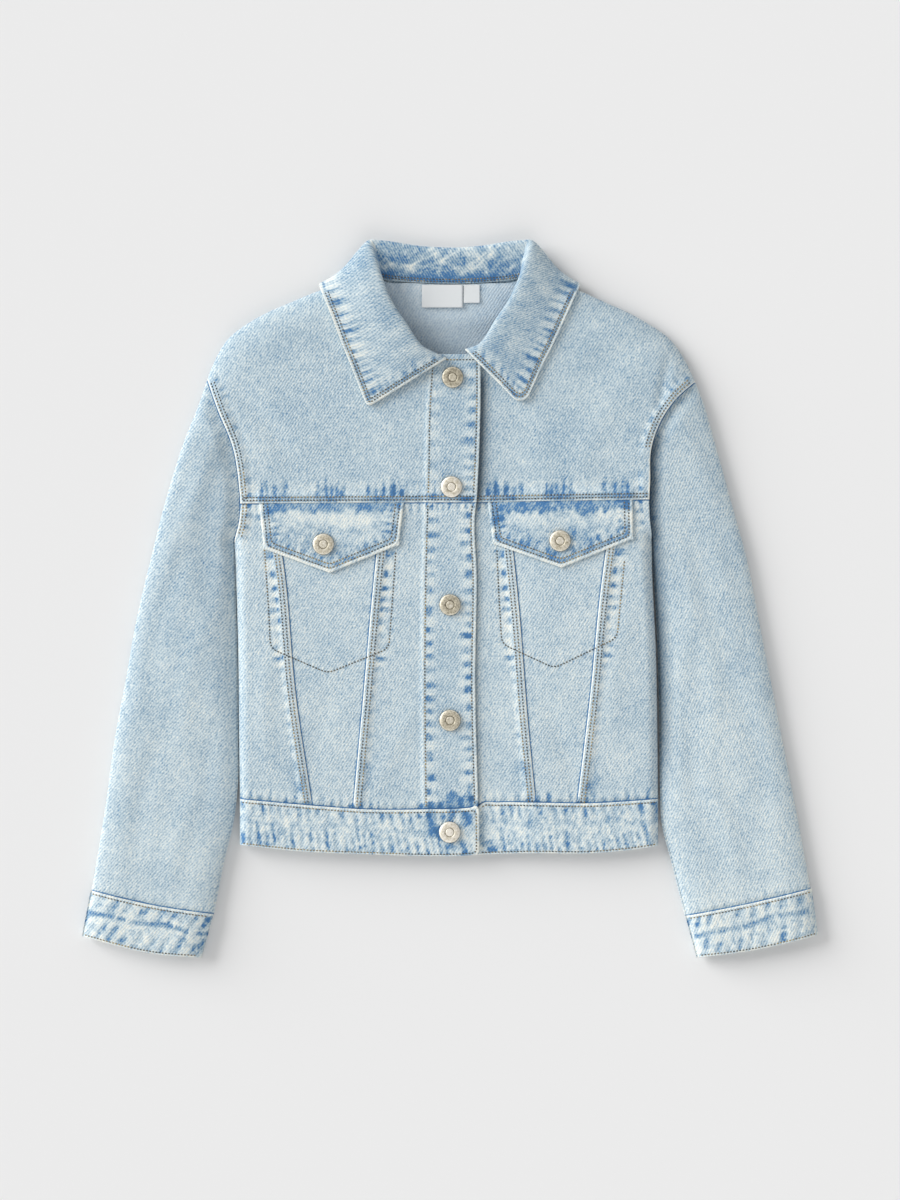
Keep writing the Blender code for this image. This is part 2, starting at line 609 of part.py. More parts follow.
def make_cuff(side, material):
    """Cuff: a doubled band round the end of the sleeve."""
    curves = CURVES[side]
    seam = at_fractions(curves["cuff_seam"], BOTH_FOLDS)
    end = at_fractions(smooth_curve(curves["cuff_end"]), BOTH_FOLDS)
    outer = at_fractions(np.array((end[0], seam[0])), CUFF_ROWS)
    inner = at_fractions(np.array((end[-1], seam[-1])), CUFF_ROWS)
    grid = inset(patch(end, seam, outer, inner), "top")
    upper = raised(grid, lambda plan: front_height(plan) + BAND_PROUD)
    lower = raised(grid, back_height)[:, ::-1]
    cloth(f"cuff_{side}", np.concatenate((upper, lower), axis=1), BAND, material, outside="out", closed=True)


def make_waistband(material):
    """Waistband: one doubled strip, from its over end round the back to its under end."""
    right, left = WAIST[0, 0], WAIST[-1, 0]
    to_fold = np.array(TO_BAND_FOLD)
    over = np.concatenate(((OVER_END, OVER_END - BAND_STEP),
                           np.linspace(BAND_MIDDLE, right + IN_FRONT, 5), right + to_fold))
    under = np.concatenate((left - to_fold[::-1], np.linspace(left - IN_FRONT, OVER_END, 5),
                            (UNDER_MIDDLE, UNDER_END)))
    back = np.concatenate((right + to_fold[::-1], np.linspace(right + BEHIND, left - BEHIND, 7),
                           left - to_fold))

    def band(x, field):
        seam = np.stack((x, np.interp(x, WAIST[:, 0], WAIST[:, 1]) - SEAM_INSET), axis=1)
        hem = np.stack((x, np.interp(x, HEM_LINE[:, 0], HEM_LINE[:, 1])), axis=1)
        rows = np.array(BAND_ROWS)[:, None, None]
        return raised(hem + (seam - hem) * rows, field)

    over_part = band(over, lambda plan: front_height(plan) + BAND_PROUD)
    over_part[[0, -1], 0, 0] -= BAND_CORNER
    sunk = UNDER_DROP + BAND_PROUD
    under_part = band(under, lambda plan: front_height(plan) + BAND_PROUD - sunk * drop_share(plan))
    points = np.concatenate((over_part, band(back, back_height), under_part), axis=1)
    cloth("waistband", points, BAND, material, outside="out")


def make_pocket(side, denim, pocketing):
    """Pocket flap on the front panels and pocket bag behind them, both down from the yoke seam."""
    curves = CURVES[side]
    face = front_face(side)
    for name, top, tip, field, wall, material in (
        ("pocket_flap", "flap_top", "flap_tip", lambda plan: face(plan) + FLAP_GAP + FLAP, FLAP, denim),
        ("pocket_bag", "pocket_top", "pocket_tip", lambda plan: face(plan) - DENIM - FLAP_GAP, POCKETING,
         pocketing),
    ):
        columns = np.linspace(0, 1, FLAP_COLUMNS)
        low, point, high = curves[tip]
        bottom = join(*(at_fractions(np.array(pair), columns) for pair in ((low, point), (point, high))))
        line = curves[top]
        share = (bottom[:, 0] - low[0]) / (high[0] - low[0])
        upper_edge = line[0] + (line[-1] - line[0]) * share[:, None]
        outer = at_fractions(np.array((low, line[0])), POCKET_ROWS)
        inner = at_fractions(np.array((high, line[-1])), POCKET_ROWS)
        grid = patch(bottom, upper_edge, outer, inner)
        cloth(f"{name}_{side}", raised(grid, field), wall, material)


def make_collar(material):
    """Collar: a doubled sheet lofted through the stations. Its stand rises from the neckline to the
    roll, and its fall lies on the yokes in front and under the back behind."""
    table = dict(zip(COLLAR_COLUMNS, np.array(COLLAR_STATIONS, float).T))
    seam, roll, edge = (np.stack([table[f"{line}_{axis}"] for axis in "xyz"], axis=1)
                        for line in ("seam", "roll", "edge"))
    turn = np.radians(table["turn"])[:, None]
    outward = np.sign(roll[:, :1]) * (1, 0, 0)
    slope = np.cos(turn) * outward + np.sin(turn) * (0, 0, 1)
    over = np.clip(np.sin(turn), 0, 1)[:, 0]
    near_edge = edge + FALL_HANDLE * (roll - edge)
    near_edge[:, 2] = edge[:, 2] + FALL_CROWN * over * (roll[:, 2] - edge[:, 2])
    handles = ((seam, seam + STAND_HANDLE * (roll - seam), roll - ROLL_HANDLE * slope, roll, STAND_STEPS),
               (roll, roll + ROLL_HANDLE * slope, near_edge, edge, FALL_STEPS))
    rows = [seam]
    for a, b, c, d, steps in handles:
        for t in steps:
            u = 1 - t
            rows.append(u**3 * a + 3 * u**2 * t * b + 3 * u * t**2 * c + t**3 * d)
    points = np.array(rows)
    # In front, the fall lies on the yokes and on the top of the placket.
    fall = points[1 + len(STAND_STEPS):]
    on_placket = np.abs(fall[..., 0]) < PLACKET_REACH
    rest = front_height(fall[..., :2]) + BAND_PROUD * on_placket + LEAF_REST
    in_front = over > OVER_FRONT
    fall[:, in_front, 2] = np.maximum(fall[:, in_front, 2], rest[:, in_front])
    cloth("collar", points, COLLAR, material, offset=0)


def make_button(name, x, y, base, material):
    """Shank button: its half section turned about its own axis."""
    mesh = bpy.data.meshes.new(name)
    profile = [(radius * MM, 0, height * MM) for radius, height in BUTTON_PROFILE]
    mesh.from_pydata(profile, [(i, i + 1) for i in range(len(profile) - 1)], [])
    button = bpy.data.objects.new(name, mesh)
    JACKET.objects.link(button)
    button.data.materials.append(material)
    button.location = (x * MM, y * MM, (base + LAY_GAP) * MM)
    turn = button.modifiers.new("turn", "SCREW")
    turn.steps = turn.render_steps = BUTTON_STEPS
    turn.use_merge_vertices = True
    turn.merge_threshold = 0.00005
    turn.use_smooth_shade = True


def make_buttons(material):
    for number, (x, y) in enumerate(FRONT_BUTTONS, start=1):
        base = front_height(np.array((x, y), float)) + BAND_PROUD
        make_button(f"front_button_{number}", x, y, base, material)
    for side, (x, y) in FLAP_BUTTONS.items():
        base = front_face(side)(np.array((x, y), float)) + FLAP_GAP + FLAP
        make_button(f"flap_button_{side}", x, y, base, material)


def make_labels(material):
    """Bare woven labels that hang from the neck seam on the inside of the back."""
    for name, label in LABELS.items():
        x = np.linspace(label["right"], label["left"], 3)
        y = label["top"] - label["drop"] * np.array((1, 0.5, 0))
        grid = np.stack(np.meshgrid(x, y), axis=-1)
        points = raised(grid, lambda plan: back_height(plan) + DENIM + LAY_GAP + LABEL)
        cloth(name, points, LABEL, material)


JACKET = bpy.data.collections.new("denim_jacket")


def main():
    clear_scene()
    bpy.context.scene.collection.children.link(JACKET)
    materials = make_materials()
    denim, bands = materials["washed_denim"], materials["band_denim"]
    make_back(denim)
    for side, _ in SIDES:
        make_yoke(side, denim)
        make_front_panels(side, denim)
        make_sleeve(side, denim)
        make_cuff(side, bands)
        make_pocket(side, bands, materials["pocketing"])
    make_waistband(bands)
    make_collar(bands)
    make_buttons(materials["button_metal"])
    make_labels(materials["label_satin"])


main()
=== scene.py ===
"""Looks of a child's light-wash denim jacket, buttoned up and laid flat on its back.

Frame: +Z up, +Y towards the collar, the wearer's right side towards -X. Sizes are in millimetres and become
metres where a mesh is made. Heights come from two fields, the upper face of the front and the lower face
of the back, which roll towards each other and meet at every folded edge.
"""

import bpy
import numpy as np
from mathutils.bvhtree import BVHTree
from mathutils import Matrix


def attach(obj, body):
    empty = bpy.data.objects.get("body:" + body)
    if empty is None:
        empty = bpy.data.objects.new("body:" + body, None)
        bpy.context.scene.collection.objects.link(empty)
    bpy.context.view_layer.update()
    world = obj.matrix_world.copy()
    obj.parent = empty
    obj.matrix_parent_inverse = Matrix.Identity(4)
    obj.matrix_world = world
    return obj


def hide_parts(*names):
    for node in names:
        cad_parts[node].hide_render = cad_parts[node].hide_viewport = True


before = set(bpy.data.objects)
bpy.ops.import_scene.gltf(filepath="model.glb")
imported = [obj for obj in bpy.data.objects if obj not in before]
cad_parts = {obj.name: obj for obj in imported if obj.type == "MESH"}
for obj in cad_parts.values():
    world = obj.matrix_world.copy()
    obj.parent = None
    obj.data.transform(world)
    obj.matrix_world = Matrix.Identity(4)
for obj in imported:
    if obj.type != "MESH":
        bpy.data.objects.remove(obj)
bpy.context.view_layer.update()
MM = 0.001

# --- The setting ------------------------------------------------------------------------------------
# A plain pale floor under broad soft light from the upper left, and a camera straight above the jacket
# on a long lens, so that it is seen almost without perspective.
VIEW_HEIGHT, VIEW_CENTRE = 1.020, -0.0009  # length in view, and its middle (m)
CAMERA_HEIGHT, FACE_LEVEL = 3.2, 0.012  # the camera above the face, and the face above the floor (m)
SENSOR = 36.0  # height of the camera's sensor (mm)
FLOOR_REACH, FLOOR_LEVEL = 12.0, -0.0003  # m
# Lights: name, place it shines from, spread (degrees), strength (W/m2)
LIGHTS = (("key", (-6.2, 3.0, 2.7), 44.0, 3.2), ("fill", (0.8, -4.6, 3.2), 60.0, 0.7))
STUDIO_WHITE, STUDIO_STRENGTH = "#F6F6F6", 0.535  # light from all round


def linear(colour):
    """sRGB hex to a linear colour: the standard sRGB curve, channel by channel."""
    parts = np.array([int(colour[i:i + 2], 16) for i in (1, 3, 5)]) / 255
    bent = np.where(parts <= 0.04045, parts / 12.92, ((parts + 0.055) / 1.055) ** 2.4)
    return (*(float(part) for part in bent), 1.0)


def add(tree, kind, inputs=(), tones=(), **settings):
    """Adds a shader node, sets its properties and its ramp's tones (each a place from 0 to 1 and its
    colour), and links or fills its inputs."""
    made = tree.nodes.new("ShaderNode" + kind)
    for name, value in settings.items():
        setattr(made, name, value)
    if tones:
        ramp = made.color_ramp.elements
        while len(ramp) < len(tones):
            ramp.new(0.5)
        for element, (where, colour) in zip(ramp, tones):
            element.position, element.color = where, linear(colour)
    for key, value in dict(inputs).items():
        if isinstance(value, bpy.types.NodeSocket):
            tree.links.new(value, made.inputs[key])
        else:
            made.inputs[key].default_value = value
    return made


def new_material(name, **sockets):
    """Principled material with these sockets set on the shader itself."""
    made = bpy.data.materials.new(name)
    made.use_nodes = True
    shader = made.node_tree.nodes["Principled BSDF"]
    for key, value in sockets.items():
        shader.inputs[key.replace("_", " ")].default_value = value
    return made, made.node_tree, shader


camera = bpy.data.objects.new("camera", bpy.data.cameras.new("camera"))
bpy.context.scene.collection.objects.link(camera)
camera.data.sensor_fit = "VERTICAL"
camera.data.sensor_height = SENSOR
camera.data.lens = SENSOR * CAMERA_HEIGHT / VIEW_HEIGHT
camera.data.clip_end = 50
camera.location = (0, VIEW_CENTRE, CAMERA_HEIGHT + FACE_LEVEL)
bpy.context.scene.camera = camera

floor_mesh = bpy.data.meshes.new("floor")
floor_mesh.from_pydata([(x * FLOOR_REACH, y * FLOOR_REACH, FLOOR_LEVEL) for x, y in
                        ((-1, -1), (1, -1), (1, 1), (-1, 1))], [], [(0, 1, 2, 3)])
floor = bpy.data.objects.new("floor", floor_mesh)
bpy.context.scene.collection.objects.link(floor)
# Matt paper: a pale grey that takes the soft shadow.
floor_mesh.materials.append(new_material("matt_paper", Base_Color=linear("#ECECEC"), Roughness=0.9,
                                         Specular_IOR_Level=0.2)[0])

for name, place, spread, strength in LIGHTS:
    light = bpy.data.objects.new(name, bpy.data.lights.new(name, "SUN"))
    bpy.context.scene.collection.objects.link(light)
    light.data.angle = np.radians(spread)
    light.data.energy = strength
    light.location = place
    x, y, z = place
    light.rotation_euler = (np.arctan2(np.hypot(x, y), z), 0, np.arctan2(-y, -x) - np.pi / 2)
world = bpy.data.worlds.new("studio")
world.use_nodes = True
world.node_tree.nodes["Background"].inputs["Color"].default_value = linear(STUDIO_WHITE)
world.node_tree.nodes["Background"].inputs["Strength"].default_value = STUDIO_STRENGTH
bpy.context.scene.world = world
bpy.context.scene.view_settings.view_transform = "Standard"

# --- Washed denim -----------------------------------------------------------------------------------
# Cotton twill, indigo warp and white weft, stone-washed almost to white. Every folded edge and the
# crest of every pucker beside a seam is bleached, and the cloth between the crests keeps its indigo.
TWILL = 2.2  # mm between wales. The real 0.9 is too fine to show, so the twill is drawn this coarse
TWILL_SLOPE = 34  # the wales' turn from the warp (degrees)
SLUB = (1.4, 10.0)  # width and length of a slub, the thicker stretches of warp yarn (mm)
FLECK, MOTTLE, CLOUD = 1.7, 6.0, 38.0  # sizes of the finer and the broader unevenness of the wash (mm)
# The wash from raw indigo to bleached: where, from -1 to 1, and colour
WASH_TONES = ((-1.0, "#4A7CAE"), (-0.66, "#7E9FBA"), (-0.3, "#9FB6C5"), (0.08, "#BFD0D9"),
              (0.45, "#D5E0E2"), (1.0, "#EEF0E8"))
INSIDE_TONES = ((-1.0, "#87A3BB"), (-0.2, "#B7C9D6"), (0.2, "#C9D8E1"), (1.0, "#E4EBEE"))
SHADED = "#24394A"  # slate blue of denim in a gap too narrow to be lit


def denim(name, tones, contrast):
    """Twill whose colour runs through `tones` with the cloth's own `wash` attribute, plus twill lines,
    slubs, flecks and mottling on its `grain` map in metres, each weighted around its own middle. Its
    `shade` attribute is the share of a dark slate blue mixed in, as painted shade."""
    made, tree, shader = new_material(name, Roughness=0.88, Specular_IOR_Level=0.25, Sheen_Weight=0.12,
                                      Sheen_Roughness=0.6)
    grain = add(tree, "UVMap", uv_map="grain").outputs["UV"]
    turn = (0, 0, np.radians(TWILL_SLOPE))
    turned = add(tree, "Mapping", {"Vector": grain, "Rotation": turn}).outputs["Vector"]
    wales = add(tree, "TexWave", {"Vector": turned, "Scale": 2 * np.pi / (20 * TWILL * MM),
                                  "Distortion": 2.2, "Detail": 1.0, "Detail Scale": 1.2},
                bands_direction="X").outputs["Fac"]
    yarn = add(tree, "Mapping", {"Vector": grain, "Scale": (1, SLUB[0] / SLUB[1], 1)}).outputs["Vector"]
    slub, fleck, mottle, cloud = (
        add(tree, "TexNoise", {"Vector": place, "Scale": 1 / (size * MM), "Detail": detail,
                               "Roughness": rough}).outputs["Fac"]
        for place, size, detail, rough in ((yarn, SLUB[0], 1.0, 0.5), (grain, FLECK, 1.0, 0.5),
                                           (grain, MOTTLE, 3.0, 0.65), (grain, CLOUD, 2.0, 0.5)))
    tone = add(tree, "Attribute", attribute_name="wash").outputs["Fac"]
    middle = 0.0
    for pattern, weight in ((wales, 1.2), (slub, 2.2), (fleck, 4.6), (mottle, 2.2), (cloud, 1.8)):
        tone = add(tree, "Math", {0: pattern, 1: weight * contrast, 2: tone},
                   operation="MULTIPLY_ADD").outputs[0]
        middle += weight * contrast / 2
    share = add(tree, "Math", {0: tone, 1: 0.5, 2: 0.5 - middle / 2}, operation="MULTIPLY_ADD",
                use_clamp=True).outputs[0]
    places = [(0.5 + 0.5 * where, colour) for where, colour in tones]
    washed = add(tree, "ValToRGB", {"Fac": share}, places).outputs["Color"]
    shade = add(tree, "Attribute", attribute_name="shade").outputs["Fac"]
    colour = add(tree, "Mix", {0: shade, 6: washed, 7: linear(SHADED)}, data_type="RGBA").outputs[2]
    tree.links.new(colour, shader.inputs["Base Color"])
    rough = add(tree, "Math", {0: wales, 1: 0.5, 2: fleck}, operation="MULTIPLY_ADD").outputs[0]
    bump = add(tree, "Bump", {"Height": rough, "Strength": 0.6, "Distance": 0.5 * MM})
    tree.links.new(bump.outputs["Normal"], shader.inputs["Normal"])
    return made


washed_denim = denim("washed_denim_twill", WASH_TONES, 0.39)
# The wrong side shows the white weft, tinted by the warp behind it.
denim_inside = denim("denim_wrong_side", INSIDE_TONES, 0.35)

# --- Back panel -------------------------------------------------------------------------------------
# One piece of twill from the shoulder folds to the waistband, cut out for the neck. Its wrong side
# shows in the neck. The outlines of the folded edges come first, because every height depends on them.
SIDES = (("right", -1), ("left", 1))
# Lines of each half seen from above, x counted outwards from the middle (mm)
HALVES = {
    "right": {
        "shoulder": ((66, 277), (110, 263), (132, 254), (168, 237), (190, 220), (200, 203), (206.7, 187)),
        "sleeve_outer": ((206.7, 187), (212.5, 169), (226, 135), (242, 84), (255, 33), (267, -18),
                         (276, -69), (285.6, -120), (292.5, -171), (305, -248)),
        "sleeve_inner": ((183.6, 48.5), (183.6, 25), (181.9, -45), (181.2, -117), (181.4, -155),
                         (184.5, -185), (193, -222), (202, -268)),
        "cuff_end": ((312.5, -287), (251.6, -301.5), (212, -305)),
        "cuff_seam": ((305, -248), (251.6, -260.3), (202, -268)),
        "armhole": ((206.7, 187), (197, 160), (184.5, 129), (179, 95), (178, 81), (179, 65.5),
                    (183.6, 48.5)),
        "side": ((183.6, 48.5), (182.4, 19), (180.5, -45), (179.8, -117), (179, -170)),
        "outer_seam": ((149, 81.2), (139.4, 14.5), (131.5, -76.5), (117, -175.5)),
        "inner_seam": ((58, 81.7), (66.5, -3), (73, -76.5), (82.5, -178.2)),
        "front_edge": ((14, 205), (17, 161), (18, 110), (20.4, 26), (21.4, -57), (20.4, -178.5)),
        "neckline": ((66, 277), (62, 256), (50, 232), (32, 213), (14, 205)),
    },
    "left": {
        "shoulder": ((66, 277), (109, 263), (129, 254), (164, 237), (188, 220), (200, 203), (208.7, 185)),
        "sleeve_outer": ((208.7, 185), (215, 169), (225, 135), (239, 84), (253, 33), (263, -18),
                         (273, -69), (283, -120), (293, -171), (307, -246.5)),
        "sleeve_inner": ((171.8, 52), (173.8, 25), (177.6, -45), (179.2, -117), (179.8, -165),
                         (181, -190), (189, -222), (201, -269.5)),
        "cuff_end": ((312.5, -286), (260.7, -298), (210.6, -305)),
        "cuff_seam": ((307, -246.5), (256, -258.5), (201, -269.5)),
        "armhole": ((208.7, 185), (192, 170), (179, 151), (171, 128), (170, 100), (169.3, 84.5),
                    (169.8, 68), (171.8, 52)),
        "side": ((171.8, 52), (172.5, 19), (175.5, -45), (176.8, -117), (177.2, -170)),
        "outer_seam": ((138, 83.9), (126.7, -3), (119.6, -76.5), (108, -173.8)),
        "inner_seam": ((49, 82.2), (58.7, -9), (66, -102.5), (73, -174)),
        "front_edge": ((20, 207), (19.5, 82), (19, -175.8)),
        "neckline": ((66, 277), (62, 256), (50, 233), (34, 214), (20, 207)),
    },
}
WAIST_SEAM = ((-179, -170), (-117, -175.5), (-69, -178.8), (-21, -178.7), (14, -177.6), (24, -176.2),
              (27.5, -173.6), (40, -172.9), (72, -173), (117, -173.6), (177.2, -170))
HEM = ((-179, -209), (-127, -214.5), (-69, -217), (2, -218.5), (24, -217.5), (70, -216), (117, -216.2),
       (150, -213.6), (177.2, -209.8))
BACK_NECK = ((-66, 277), (-58, 271.5), (-30, 269.2), (0, 268), (30, 269), (58, 271.5), (66, 277))
WALL = 1.0  # the cloth's thickness
CHEST_LOFT, HEM_LOFT, SLEEVE_LOFT = 17.0, 13.5, 14.5  # heights of the front's upper face
FOLD = 7.0  # height of a fold's middle
BACK_ROLL = 12.0  # the back rolls up to a fold over this width
FALL_LIFT = 3.4  # the collar's fall lies under the back and lifts it by this
TUCK = 0.99  # inside the waistband the panels are drawn in to this share of their width
ALLOWANCE = 5.0  # seam allowance that runs on under a lapped edge
# Creases of the front and sleeves: middle x and y, direction (degrees), half length, half width, height
CREASES = (
    (-158, 152, -52, 42, 9, -0.9), (-120, 205, -28, 46, 12, 0.8), (150, 212, 30, 40, 12, -0.7),
    (128, 150, 60, 45, 13, 0.6), (-100, 120, 10, 45, 12, -0.5), (92, 118, -12, 42, 11, 0.5),
    (-112, -115, 78, 40, 10, -0.5), (-45, -120, 62, 48, 9, 0.6), (95, -120, -70, 46, 9, -0.6),
    (140, -60, 82, 55, 10, 0.7), (-158, -90, 88, 50, 8, 0.6), (50, 10, -80, 40, 8, -0.4),
    (-222, 105, 72, 60, 9, -1.1), (-247, -20, 76, 70, 9, -1.0), (-222, -70, 80, 60, 10, 0.9),
    (-262, -170, 78, 55, 9, -0.9), (-230, -200, 74, 45, 9, 0.8), (-232, 60, 68, 40, 8, 0.8),
    (228, 110, -70, 55, 9, -1.0), (246, 15, -74, 70, 10, -1.0), (222, -60, -82, 60, 9, 0.9),
    (262, -130, -78, 60, 10, -0.9), (234, -190, -72, 50, 9, 0.9), (262, -40, -75, 45, 8, 0.7),
    (-206, 70, 82, 75, 11, -1.6), (204, 0, -86, 50, 8, 0.8), (181, 182, 80, 24, 4.5, -1.5),
    (-276, -120, 80, 45, 7, 0.6), (205, -130, -84, 45, 8, -0.7), (-205, -140, 84, 45, 8, -0.7),
)
# Creases of the back and the undersides, given in the same way
BACK_CREASES = (
    (-60, 190, 20, 60, 14, 0.9), (70, 150, -24, 66, 13, 1.0), (-110, 60, 70, 60, 12, 0.8),
    (20, 60, 84, 70, 13, 0.9), (110, -20, -76, 62, 12, 1.0), (-50, -60, 66, 60, 11, 0.8),
    (60, -120, -60, 50, 11, 0.9), (-120, -130, 80, 40, 10, 0.7), (-235, 60, 72, 60, 10, 1.0),
    (-255, -90, 78, 70, 10, 0.9), (-238, -190, 74, 45, 9, 0.8), (235, 50, -70, 60, 10, 1.0),
    (250, -80, -77, 70, 10, 0.9), (240, -190, -72, 45, 9, 0.8),
)


def smooth(t):
    """Eased step: 3t² - 2t³ between 0 and 1, flat outside."""
    t = np.clip(t, 0, 1)
    return t * t * (3 - 2 * t)


def rising(value, start, over):
    """Eased step from 0 up to 1, which begins at `start` and takes the width `over`."""
    return smooth((value - start) / over)


def fading(value, start, over):
    """Eased step from 1 down to 0, which begins at `start` and takes the width `over`."""
    return 1 - smooth((value - start) / over)


def bell(value, middle, width):
    """Bell curve: e to minus the square of the distance from the middle in widths."""
    return np.exp(-(((value - middle) / width) ** 2))


def rounding(gap, over):
    """Drop of an edge rounded over this width: one less the root of the distance's share of it."""
    return 1 - np.sqrt(np.clip(gap / over, 0, 1))


def along(curve):
    """Running length at each point: the summed spans before it."""
    return np.concatenate(([0], np.cumsum(np.linalg.norm(np.diff(curve, axis=0), axis=1))))


def smooth_curve(points, steps=8):
    """Smooth curve through points: cubic Hermite spans on the slopes of the points around."""
    points = np.array(points, float)
    if len(points) == 2:
        return points
    reach = along(points)
    slopes = np.gradient(points, reach, axis=0)
    span = np.diff(reach)[:, None, None]
    t = np.linspace(0, 1, steps, endpoint=False)[None, :, None]
    start, end, out, into = points[:-1, None], points[1:, None], slopes[:-1, None], slopes[1:, None]
    curve = ((2 * t**3 - 3 * t**2 + 1) * start + (t**3 - 2 * t**2 + t) * span * out
             + (3 * t**2 - 2 * t**3) * end + (t**3 - t**2) * span * into)
    return np.vstack((curve.reshape(-1, points.shape[1]), points[-1:]))


def at(curve, fractions):
    """Points of a curve at fractions of its length."""
    reach = along(curve)
    where = np.asarray(fractions) * reach[-1]
    return np.stack([np.interp(where, reach, curve[:, k]) for k in range(curve.shape[1])], axis=1)


def stretch(curve, start, end, steps=60):
    """Stretch of a curve between two fractions of its length."""
    return at(curve, np.linspace(start, end, steps))


def join(*curves):
    """Curves that follow each other, without the points they share."""
    return np.vstack([curves[0]] + [curve[1:] for curve in curves[1:]])


def fraction_at(curve, axis, value):
    """Fraction of a curve's length at which its x or y passes a value."""
    reach = along(curve) / along(curve)[-1]
    order = np.argsort(curve[:, axis])
    return float(np.interp(value, curve[order, axis], reach[order]))


def spacing(length, edge=0.5, fine=1.3, coarse=2.4):
    """Fractions of an edge: steps grow from `edge` at its ends over `fine` beside the seams to `coarse`."""
    s = np.linspace(0, length, 800)
    from_end = np.minimum(s, length - s)
    step = edge + (fine - edge) * rising(from_end, 0, 4) + (coarse - fine) * rising(from_end, 16, 16)
    count = np.concatenate(([0], np.cumsum(np.diff(s) / step[:-1])))
    return np.interp(np.linspace(0, count[-1], int(np.ceil(count[-1])) + 1), count, s) / length


def near(plan, line):
    """Distance to a polyline, and the length along it of its nearest point, by projecting on every span."""
    flat = plan.reshape(-1, 1, 2)
    start, run = line[:-1], np.diff(line, axis=0)
    span = np.maximum((run**2).sum(-1), 1e-9)
    t = np.clip(((flat - start) * run).sum(-1) / span, 0, 1)
    gap = np.hypot(flat[..., 0] - start[:, 0] - t * run[:, 0], flat[..., 1] - start[:, 1] - t * run[:, 1])
    best = gap.argmin(1)
    each = np.arange(len(best))
    reach = along(line)[best] + t[each, best] * np.sqrt(span[best])
    return gap[each, best].reshape(plan.shape[:-1]), reach.reshape(plan.shape[:-1])


def patchy(x, y, seed):
    """Value noise from 0 to 1: seeded numbers on a unit lattice, eased between its points."""
    table = np.random.default_rng(seed).random((128, 128))
    x, y = np.nan_to_num(x), np.nan_to_num(y)
    i, j = np.floor(x).astype(int), np.floor(y).astype(int)
    u, v = smooth(x - i), smooth(y - j)
    i, j = i % 127, j % 127
    return (table[i, j] * (1 - u) + table[i + 1, j] * u) * (1 - v) + (
        table[i, j + 1] * (1 - u) + table[i + 1, j + 1] * u) * v


def patch(bottom, top, left, right, u, v):
    """Coons patch between four plan curves: both ruled surfaces less the one through the corners."""
    bottom, top, left, right = at(bottom, u), at(top, u), at(left, v), at(right, v)
    u, v = u[None, :, None], v[:, None, None]
    return ((1 - u) * left[:, None] + u * right[:, None] + (1 - v) * bottom[None] + v * top[None]
            - ((1 - u) * (1 - v) * bottom[0] + u * (1 - v) * bottom[-1] + (1 - u) * v * top[0]
               + u * v * top[-1]))


def run_on(grid, edge, width=ALLOWANCE):
    """Carries a plan grid on past one edge by a seam allowance, in two rows, along the grid's own lines."""
    turned = {"bottom": grid, "top": grid[::-1], "left": grid.swapaxes(0, 1),
              "right": grid.swapaxes(0, 1)[::-1]}[edge]
    way = turned[0] - turned[4]
    way = way / np.maximum(np.linalg.norm(way, axis=-1, keepdims=True), 1e-9)
    width = np.reshape(width, (-1, 1))
    turned = np.concatenate(((turned[0] + way * width)[None], (turned[0] + way * width / 2)[None], turned))
    if edge in ("top", "right"):
        turned = turned[::-1]
    return turned if edge in ("bottom", "top") else turned.swapaxes(0, 1)


def roll_up(plan, folds):
    """Share of the full height: beside the nearest fold, a quarter of an ellipse over that fold's roll."""
    share = np.ones(plan.shape[:-1])
    for line, first, last, over in folds:
        gap, reach = near(plan, line)
        t = np.clip(gap / (first + (last - first) * rising(reach, 0, over)), 0, 1)
        share = np.minimum(share, np.sqrt(1 - (1 - t) ** 2))
    return share


def creased(plan, table):
    """Soft ridges and troughs: each a bell across its width that fades out along its length."""
    height = np.zeros(plan.shape[:-1])
    for x, y, angle, length, width, rise in table:
        turn = np.radians(angle)
        dx, dy = plan[..., 0] - x, plan[..., 1] - y
        lengthwise = dx * np.cos(turn) + dy * np.sin(turn)
        across = dy * np.cos(turn) - dx * np.sin(turn) + 0.002 * lengthwise**2
        height += rise * np.exp(-((across / width) ** 2) - (lengthwise / length) ** 4)
    return height


CURVES = {side: {name: smooth_curve(points) * (sign, 1) for name, points in HALVES[side].items()}
          for side, sign in SIDES}
WAIST, HEM_LINE, NECK = smooth_curve(WAIST_SEAM), smooth_curve(HEM), smooth_curve(BACK_NECK)
# Folds: line, roll of the front at its start, further on, and the length over which it changes
OUTER_FOLDS = [(join(curves["shoulder"], curves["sleeve_outer"], curves["cuff_end"][[0, 0]]), 26, 26, 1)
               for curves in CURVES.values()]
INNER_FOLDS = [(join(curves["sleeve_inner"], curves["cuff_end"][[-1, -1]]), 12, 24, 90)
               for curves in CURVES.values()]
SIDE_FOLDS = [(join(CURVES[side]["side"], HEM_LINE[[end, end]]), 12, 9, 60)
              for side, end in (("right", 0), ("left", -1))]
BODY_FOLDS, SLEEVE_FOLDS = OUTER_FOLDS + SIDE_FOLDS, OUTER_FOLDS + INNER_FOLDS


def front_height(plan, folds=BODY_FOLDS):
    """Upper face: the loft, lower at the hem and on the sleeves, rolled down to the folds and creased.
    Gives the height, and the share of it that the rolls leave."""
    x, y = np.abs(plan[..., 0]), plan[..., 1]
    down, out = fading(y, -210, 150), rising(x, 150, 70)
    loft = CHEST_LOFT - (CHEST_LOFT - HEM_LOFT) * down + (SLEEVE_LOFT - CHEST_LOFT) * out * (1 - down)
    share = roll_up(plan, folds)
    return FOLD + (loft - FOLD) * share + creased(plan, CREASES) * share, share


